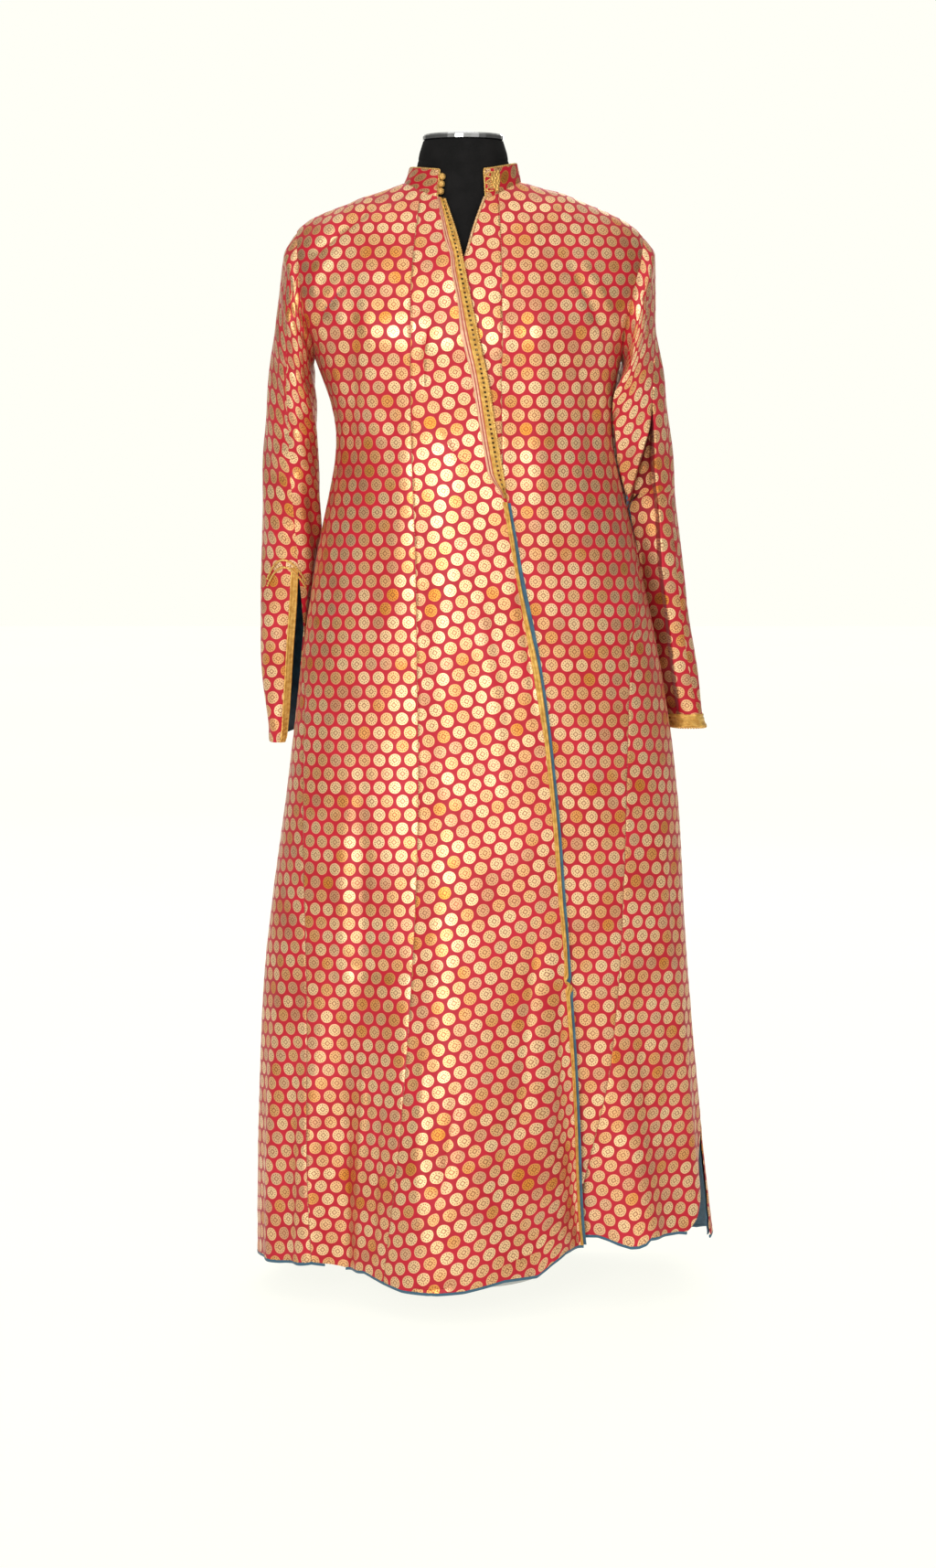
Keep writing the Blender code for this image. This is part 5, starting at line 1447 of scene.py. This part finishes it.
def collar():
    angles = np.linspace(COLLAR_START, COLLAR_END, 110)
    rows = [collar_frame(angles, share) for share in np.linspace(-0.03, 1.03, 16)]
    middle, normals = np.array([r[0] for r in rows]), np.array([r[1] for r in rows])
    around, along = arc(middle, 1), arc(middle, 0)
    wave = 0.0004 * np.sin(around * 130) + 0.0003 * np.sin(around * 290 + along * 120)
    outer = middle + normals * (WALL / 2 + wave)[..., None]
    mesh = shell_mesh("collar_cloth", outer, outer - normals * 0.0018, np.stack((around, along), axis=-1))
    obj = new_object("collar_cloth", mesh, BROCADE, BROCADE)
    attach(obj, "root")
    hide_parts("collar")
    edge = [collar_frame(angles, 1.06)[0][k] for k in range(len(angles))]
    front_right = [collar_frame(np.array([COLLAR_END + 0.6]), s)[0][0] for s in np.linspace(0.0, 1.0, 12)]
    front_left = [collar_frame(np.array([COLLAR_START - 0.6]), s)[0][0] for s in np.linspace(1.0, 0.0, 12)]
    rope("collar_cord", front_left[::-1] + edge + front_right[::-1], 0.0011, 3, 0.0036, node="collar_piping")
    loop_tab()
    for number, share in enumerate(BUTTON_SHARES, 1):
        knot(number, share)


def knot(number, share):
    """A ball button of knotted thread, with its short stem."""
    place, normal = collar_frame(np.array([COLLAR_END]), share)
    ahead = collar_frame(np.array([COLLAR_END + 1.0]), share)[0][0] - place[0]
    centre = place[0] + ahead / np.linalg.norm(ahead) * (BUTTON_RADIUS + TRIM_GAP)
    points, faces, rows, sides = [], [], 22, 30
    for r in range(rows + 1):
        tilt = math.pi * r / rows
        for c in range(sides):
            a = 2 * math.pi * c / sides
            over = abs(math.sin(3 * a + 4 * tilt)) * 0.5 + abs(math.sin(3 * a - 4 * tilt)) * 0.5
            radius = BUTTON_RADIUS * (0.98 + 0.14 * over)
            direction = (math.sin(tilt) * math.cos(a), math.cos(tilt), math.sin(tilt) * math.sin(a))
            points.append(centre + np.array(direction) * radius)
    for r in range(rows):
        for c in range(sides):
            a, b = r * sides + c, r * sides + (c + 1) % sides
            faces.append((a, b, b + sides, a + sides))
    mesh = mesh_of("knot_button_%d" % number, points, faces)
    merge(mesh)
    work = bmesh.new()
    work.from_mesh(mesh)
    bmesh.ops.recalc_face_normals(work, faces=work.faces)
    work.to_mesh(mesh)
    work.free()
    finish_trim("knot_button_%d" % number, mesh, GOLD_CORD, node="collar_button_%d" % number)
    stem = [place[0] + normal[0] * 0.0012, place[0] + normal[0] * 0.0016 + (centre - place[0]) * 0.5, centre]
    rope("knot_stem_%d" % number, stem, 0.0009, 2, 0.003)


def loop_tab():
    """The embroidered tab on the collar's left end, with loops for the buttons."""
    span = (COLLAR_END - COLLAR_START) / 28
    shares = np.linspace(0.10, 0.90, 34)
    rows = []
    for share in shares:
        narrow = 0.45 + 0.55 * smooth_step((share - 0.10) / 0.45)
        middle_angle = COLLAR_START + 1.05 * span
        wide = np.linspace(-0.5, 0.5, 24) * span * 0.95 * narrow
        rows.append(collar_frame(middle_angle + wide, share))
    middle, normals = np.array([r[0] for r in rows]), np.array([r[1] for r in rows])
    u, v = arc(middle, 1), arc(middle, 0)
    wide = u[:, -1:]
    rim = np.maximum(ridge(u, 0.0012, 0.0012, 0.0009), ridge(u, wide - 0.0012, 0.0012, 0.0009))
    scroll = 0.0005 * (1 + np.sin(2 * math.pi * u / 0.0042 + 2 * np.sin(2 * math.pi * v / 0.009)))
    top = middle + normals * (WALL / 2 + 0.0008 + np.maximum(rim, scroll))[..., None]
    bottom = middle + normals * (WALL / 2 - 0.0001)
    mesh = shell_mesh("loop_tab_gold", top, bottom, np.stack((u, v), axis=-1))
    finish_trim("loop_tab_gold", mesh, GOLD_PLAIN, node="collar_loop_tab")
    mesh.materials.append(GOLD_PLAIN)
    for number, share in enumerate(BUTTON_SHARES, 1):
        line = []
        for k in range(17):
            turn = math.pi * k / 16
            angle = np.array([COLLAR_START + 0.68 * span - 0.62 * span * math.sin(turn)])
            place, normal = collar_frame(angle, share + 0.085 * math.cos(turn))
            line.append(place[0] + normal[0] * 0.0016)
        rope("button_loop_%d" % number, line, 0.0009, 2, 0.003)


# Lines over the robe, in places that trims share

def seam_lift(angle, level):
    """The overlap's height to the left of its seam, and none to the right of it."""
    return np.where(angle > angle_of("right_seam", level), overlap_lift(angle, level), 0.0)


def on_overlap_edge(levels, inward, height):
    """Points over the overlap's edge, at a distance inward from it."""
    points = []
    for level in levels:
        edge = angle_of("overlap_edge", level)
        near = robe_points([edge - 0.5, edge + 0.5], level, False)
        angle = np.array([edge - inward / np.linalg.norm(near[1] - near[0])])
        point, normal = robe_frame(angle, level)
        point[:, 2] += hem_rise(RIGHT_HEM, point)
        lift = overlap_lift(np.minimum(angle, edge), level) + WALL / 2 + height
        points.append((point + normal * lift[:, None])[0])
    return points


def front_trims():
    braid = edge_levels(BRAID_FOOT_LEVEL, NECKLINE, 0.0007)
    offsets = np.linspace(0.0, BRAID_WIDTH, 25)
    strip_on_overlap(
        "front_braid_gold", braid, offsets, braid_profile, GOLD_BRAID, "front_braid"
    )
    band = edge_levels(0.0, BRAID_FOOT_LEVEL - 0.03, 0.0008)
    strip_on_overlap(
        "front_band_gold", band, np.linspace(0.0, BAND_WIDTH, 11), band_profile, GOLD_BAND,
        "front_edge_band",
    )
    under = edge_levels(0.0, BRAID_FOOT_LEVEL - 0.03, 0.004)
    facing = strip_on_overlap(
        "front_facing_blue", under, np.linspace(BAND_WIDTH, -FACING_SHOWS, 6), None, LINING,
        "front_facing", True,
    )
    edge = on_overlap_edge(edge_levels(BRAID_FOOT_LEVEL + 0.1, NECKLINE, 0.0031), -0.0003, 0.0004)
    scallops = beads("front_braid_scallops", edge, 0.0015, GOLD_CORD, 0.7)
    neck = []
    for level in np.linspace(10.4, NECKLINE, 40):
        edge = np.array([angle_of("underlap_edge", level) + 0.8])
        point, normal = robe_frame(edge, level)
        lift = underlap_lift(edge, level) + WALL / 2 + 0.0008
        neck.append((point + normal * lift[:, None])[0])
    rope("neck_edge_cord", neck, 0.0016, 3, 0.005, GOLD_PALE, node="neck_edge_piping")
    return facing, scallops


def hems():
    right = [
        (-90.0, gore_angle("right", 0.0) - 90),
        (gore_angle("right", 0.0) - 90, angle_of("right_seam", 0.0)),
        (angle_of("right_seam", 0.0) + 0.05, angle_of("overlap_edge", 0.0)),
    ]
    left = [
        (angle_of("left_seam", 0.0), 90 - gore_angle("left", 0.0)),
        (90 - gore_angle("left", 0.0), 90 - vent(0.0)),
    ]
    back = [(90 - vent(0.0) * VENT_BACK_SHARE, 269.9)]
    hem_piping(
        "right_hem_binding", right, seam_lift, RIGHT_HEM, "hem_piping_right_front", (-0.166, -0.142)
    )
    hem_piping("left_hem_binding", left, no_lift, LEFT_HEM, "hem_piping_left_front")
    hem_piping("back_hem_binding", back, no_lift, BACK_HEM, "hem_piping_back")


def trim_profile(u, v):
    """A cuff braid's height: a gold line, a dotted middle and a lower ridge."""
    height = 0.0006 + ridge(v, 0.0150, 0.0012, 0.0009) + ridge(v, 0.0100, 0.0016, 0.0008)
    height = height + ridge(v, 0.0022, 0.0018, 0.0009)
    hole = smooth_step(np.cos(u / DOT_STEP * 2 * math.pi) * 1.5)
    height = height - 0.0009 * hole * np.exp(-((v - 0.0062) / 0.0009) ** 2)
    return height + 0.00012 * np.sin(2 * math.pi * (u + v) / 0.0011)


def slit_profile(u, v):
    wave = 0.5 + 0.5 * np.cos(2 * math.pi * v / 0.0062)
    height = 0.0005 + ridge(u, 0.0012, 0.0012, 0.0009) + ridge(u, u.max() - 0.0012, 0.0012, 0.0009)
    return height + 0.0007 * wave * ridge(u, u.max() / 2, u.max() / 3, 1.0)


def sleeve_trims():
    cuff = np.linspace(SLEEVE_RINGS - 1.0, SLEEVE_RINGS, 26)
    around = np.linspace(SLIT_TURN, SLIT_TURN + 360, 200)
    strip = sleeve_strip(
        "left_cuff_gold", "left", cuff, lambda ring: around, trim_profile, GOLD_TRIM,
        "left_cuff_braid",
    )
    low = sleeve_edge("left", around, SLEEVE_RINGS, WALL / 2 + 0.0003)
    beads("left_cuff_scallops", evenly(low, 0.0034), 0.0017, GOLD_CORD)

    def flap(ring):
        back = slit_edges("right", ring)[1]
        return np.linspace(back, back + 150, 90)

    def slit(ring):
        front = slit_edges("right", ring)[0] + 360
        return np.linspace(front - 14, front, 12)

    rings = np.linspace(SLEEVE_RINGS - 0.62, SLEEVE_RINGS, 16)
    sleeve_strip("right_flap_gold", "right", rings, flap, trim_profile, GOLD_TRIM, "right_cuff_trim")
    low = sleeve_edge("right", flap(SLEEVE_RINGS), SLEEVE_RINGS, WALL / 2 + 0.0003)
    beads("right_flap_scallops", evenly(low, 0.0034), 0.0016, GOLD_CORD)
    rings = np.linspace(SLIT_RING, SLEEVE_RINGS, 150)
    sleeve_strip("right_slit_gold", "right", rings, slit, slit_profile, GOLD_SLIT, "right_slit_braid")
    hook()
    return strip


def sleeve_edge(side, turns, ring, height):
    points, normals = sleeve_grid(side, (ring - 0.02, ring), lambda r: turns)
    return points[0] + normals[0] * height


def evenly(line, step):
    """Points evenly apart along a line."""
    line = np.asarray(line)
    length = np.concatenate(([0], np.cumsum(np.linalg.norm(np.diff(line, axis=0), axis=1))))
    at = np.arange(0, length[-1], step)
    return np.stack([np.interp(at, length, line[:, k]) for k in range(3)], axis=1)


def on_right_sleeve(path, height):
    """Points over the right sleeve, from pairs of turn and ring."""
    out = []
    for turn, ring in path:
        points, normals = sleeve_grid("right", (ring,), lambda r, t=turn: np.array([t, t + 0.5]))
        out.append(points[0, 0] + normals[0, 0] * height)
    return out


def hook():
    """The claw of doubled gold cord over the top of the slit."""
    for name, shift, low in (("outer", -HOOK_WIDTH, 0.0), ("inner", HOOK_WIDTH, 0.02)):
        path = []
        for k in range(49):
            share = k / 48
            turn = HOOK_START_TURN + (HOOK_END_TURN - HOOK_START_TURN) * share
            ring = SLIT_RING + HOOK_SAG - HOOK_RISE * math.sin(math.pi * (0.15 + 0.7 * share))
            path.append((turn, ring + shift + low))
        line = on_right_sleeve(path, WALL / 2 + 0.0012)
        node = "right_slit_hook" if name == "outer" else None
        rope("slit_hook_" + name, line, 0.0013, 3, 0.0045, node=node)


# The form

def form():
    """The limbless form: its lower body, shoulders under the robe, and neck."""
    angles = np.linspace(0, 360, 128, endpoint=False)
    rings = []
    for at in np.linspace(0, len(FORM) - 1, 60):
        rings.append(section_points(form_section(FORM, at), angles))
    for level in np.linspace(9.6, NECKLINE, 34):
        point, normal = robe_frame(angles, level, False)
        near_neck = smooth_step((level - 11.2) / 0.8)
        gap = 0.0015 + 0.0055 * (1 - near_neck) + FORM_FRONT_GAP * np.abs(np.cos(np.radians(angles)))
        rings.append(point - normal * (WALL / 2 + gap)[:, None])
    centre = np.array((NECK_CENTRE, 0.0, 0.0))
    low = rings[-1]
    first = section_points(form_section(NECK, 0.0), angles) + centre
    for share in np.linspace(0.15, 0.85, 5):
        rings.append(low + (first - low) * smooth_step(share))
    for at in np.linspace(0, len(NECK) - 1, 26):
        ring = section_points(form_section(NECK, at), angles) + centre
        middle = ring.mean(axis=0)
        seam = 1 - 0.010 * math.exp(-(((at - 0.45) / 0.10) ** 2))
        rings.append(middle + (ring - middle) * seam)
    top = rings[-1]
    for share in (0.97, 0.6):
        flat = (top - top.mean(axis=0)) * share + top.mean(axis=0)
        rings.append(flat)
    points = np.concatenate(rings)
    count, faces = len(angles), []
    for r in range(len(rings) - 1):
        for c in range(count):
            a, b = r * count + c, r * count + (c + 1) % count
            faces.append((a, b, b + count, a + count))
    faces.append(tuple(reversed(range(count))))
    faces.append(tuple(range((len(rings) - 1) * count, len(rings) * count)))
    mesh = mesh_of("form_body", points, faces)
    finish_trim("form_body", mesh, JERSEY, "form_torso")


def form_section(table, at):
    low = min(int(at), len(table) - 2)
    values = np.array(table[low]) + (np.array(table[low + 1]) - np.array(table[low])) * (at - low)
    row = dict(zip(FORM_COLUMNS, values))
    names = ("z_side", "z_side", "z_front", "z_back", "side", "side", "front", "back", "square")
    return {key: row[name] for key, name in zip(SECTION_COLUMNS, names)}


def finish_metal(node, material):
    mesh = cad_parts[node].data
    mesh.materials.clear()
    mesh.materials.append(material)


# The studio

def studio():
    world = bpy.data.worlds.new("studio")
    bpy.context.scene.world = world
    world.use_nodes = True
    tree = world.node_tree
    place = tree.nodes.new("ShaderNodeTexCoord")
    split = tree.nodes.new("ShaderNodeSeparateXYZ")
    tree.links.new(place.outputs["Generated"], split.inputs[0])
    squares = []
    for index in (1, 2):
        square = tree.nodes.new("ShaderNodeMath")
        square.operation = "MULTIPLY"
        tree.links.new(split.outputs[index], square.inputs[0])
        tree.links.new(split.outputs[index], square.inputs[1])
        squares.append(square)
    total = tree.nodes.new("ShaderNodeMath")
    for index in (0, 1):
        tree.links.new(squares[index].outputs[0], total.inputs[index])
    bright = tree.nodes.new("ShaderNodeMapRange")
    tree.links.new(total.outputs[0], bright.inputs[0])
    for index, value in ((1, 0.55), (2, 0.93), (3, SIDE_LIGHT), (4, 1.0)):
        bright.inputs[index].default_value = value
    background = tree.nodes["Background"]
    background.inputs["Color"].default_value = (1.0, 1.0, 0.925, 1.0)
    tree.links.new(bright.outputs[0], background.inputs["Strength"])

    light("key", (-1.1, -4.6, 2.1), (0, 0, 0.76), 1.6, KEY_LIGHT, 46.0)
    light("fill", (2.6, -3.0, 1.6), (0, 0, 0.7), 2.0, FILL_LIGHT)
    light("top", (0.0, -0.2, 3.6), (0, 0, 0.6), 2.2, TOP_LIGHT)
    light("back", (0.5, 4.4, 2.6), (0, 0, 0.8), 2.2, BACK_LIGHT)

    bpy.ops.mesh.primitive_grid_add(x_subdivisions=8, y_subdivisions=8, size=30)
    floor = bpy.context.object
    floor.name = "studio_floor"
    floor.data.materials.append(floor_paper())


def light(name, place, target, size, power, spread=180.0):
    data = bpy.data.lights.new(name, "AREA")
    data.energy, data.size = power, size
    data.spread = math.radians(spread)
    data.color = (1.0, 0.985, 0.96)
    obj = bpy.data.objects.new(name, data)
    bpy.context.scene.collection.objects.link(obj)
    obj.location = place
    aim = mathutils.Vector(target) - mathutils.Vector(place)
    obj.rotation_euler = aim.to_track_quat("-Z", "Y").to_euler()


def camera():
    bpy.context.scene.view_settings.view_transform = "Standard"
    data = bpy.data.cameras.new("camera")
    data.lens, data.sensor_width, data.sensor_fit = CAMERA_LENS, 36, "AUTO"
    obj = bpy.data.objects.new("camera", data)
    obj.location = CAMERA_PLACE
    obj.rotation_euler = (math.radians(CAMERA_TILT), 0, 0)
    bpy.context.scene.collection.objects.link(obj)
    bpy.context.scene.camera = obj


# The lights' strengths, and the whole scene built piece by piece

SIDE_LIGHT, KEY_LIGHT, FILL_LIGHT, TOP_LIGHT, BACK_LIGHT = 0.17, 11.0, 8.0, 11.0, 40.0


def main():
    camera()
    studio()
    panel("right_front", 44, no_lift, RIGHT_HEM, 0.0, 1.0)
    panel("left_front", 44, no_lift, LEFT_HEM, 0.0, 0.0)
    panel("right_front_gore", 54, overlap_lift, RIGHT_HEM, 16.0, 0.0)
    panel("left_front_gore", 40, underlap_lift, LEFT_HEM, -16.0, 1.0)
    panel("back", 96, no_lift, BACK_HEM, 0.0, 0.5)
    panel("right_side_front", 18, no_lift, RIGHT_HEM, 6.0, 1.0, GORE_TIP["right"])
    panel("left_side_front", 24, no_lift, LEFT_HEM, -6.0, 0.0, GORE_TIP["left"])
    panel("right_side_back", 18, no_lift, BACK_HEM, -6.0, 0.0, GORE_TIP["right"])
    panel("left_side_back", 24, no_lift, BACK_HEM, 6.0, 1.0, GORE_TIP["left"])
    lining = panel("back_lining", 80, lining_lift, BACK_HEM, 0.0, 0.5, LINING_LEVEL)
    lining.data.materials[0] = LINING
    sleeve("right")
    sleeve("left")
    front_trims()
    hems()
    sleeve_trims()
    collar()
    form()
    finish_metal("neck_cap", CHROME)
    finish_metal("stand_pole", STEEL)
    finish_metal("stand_base", STEEL)


main()
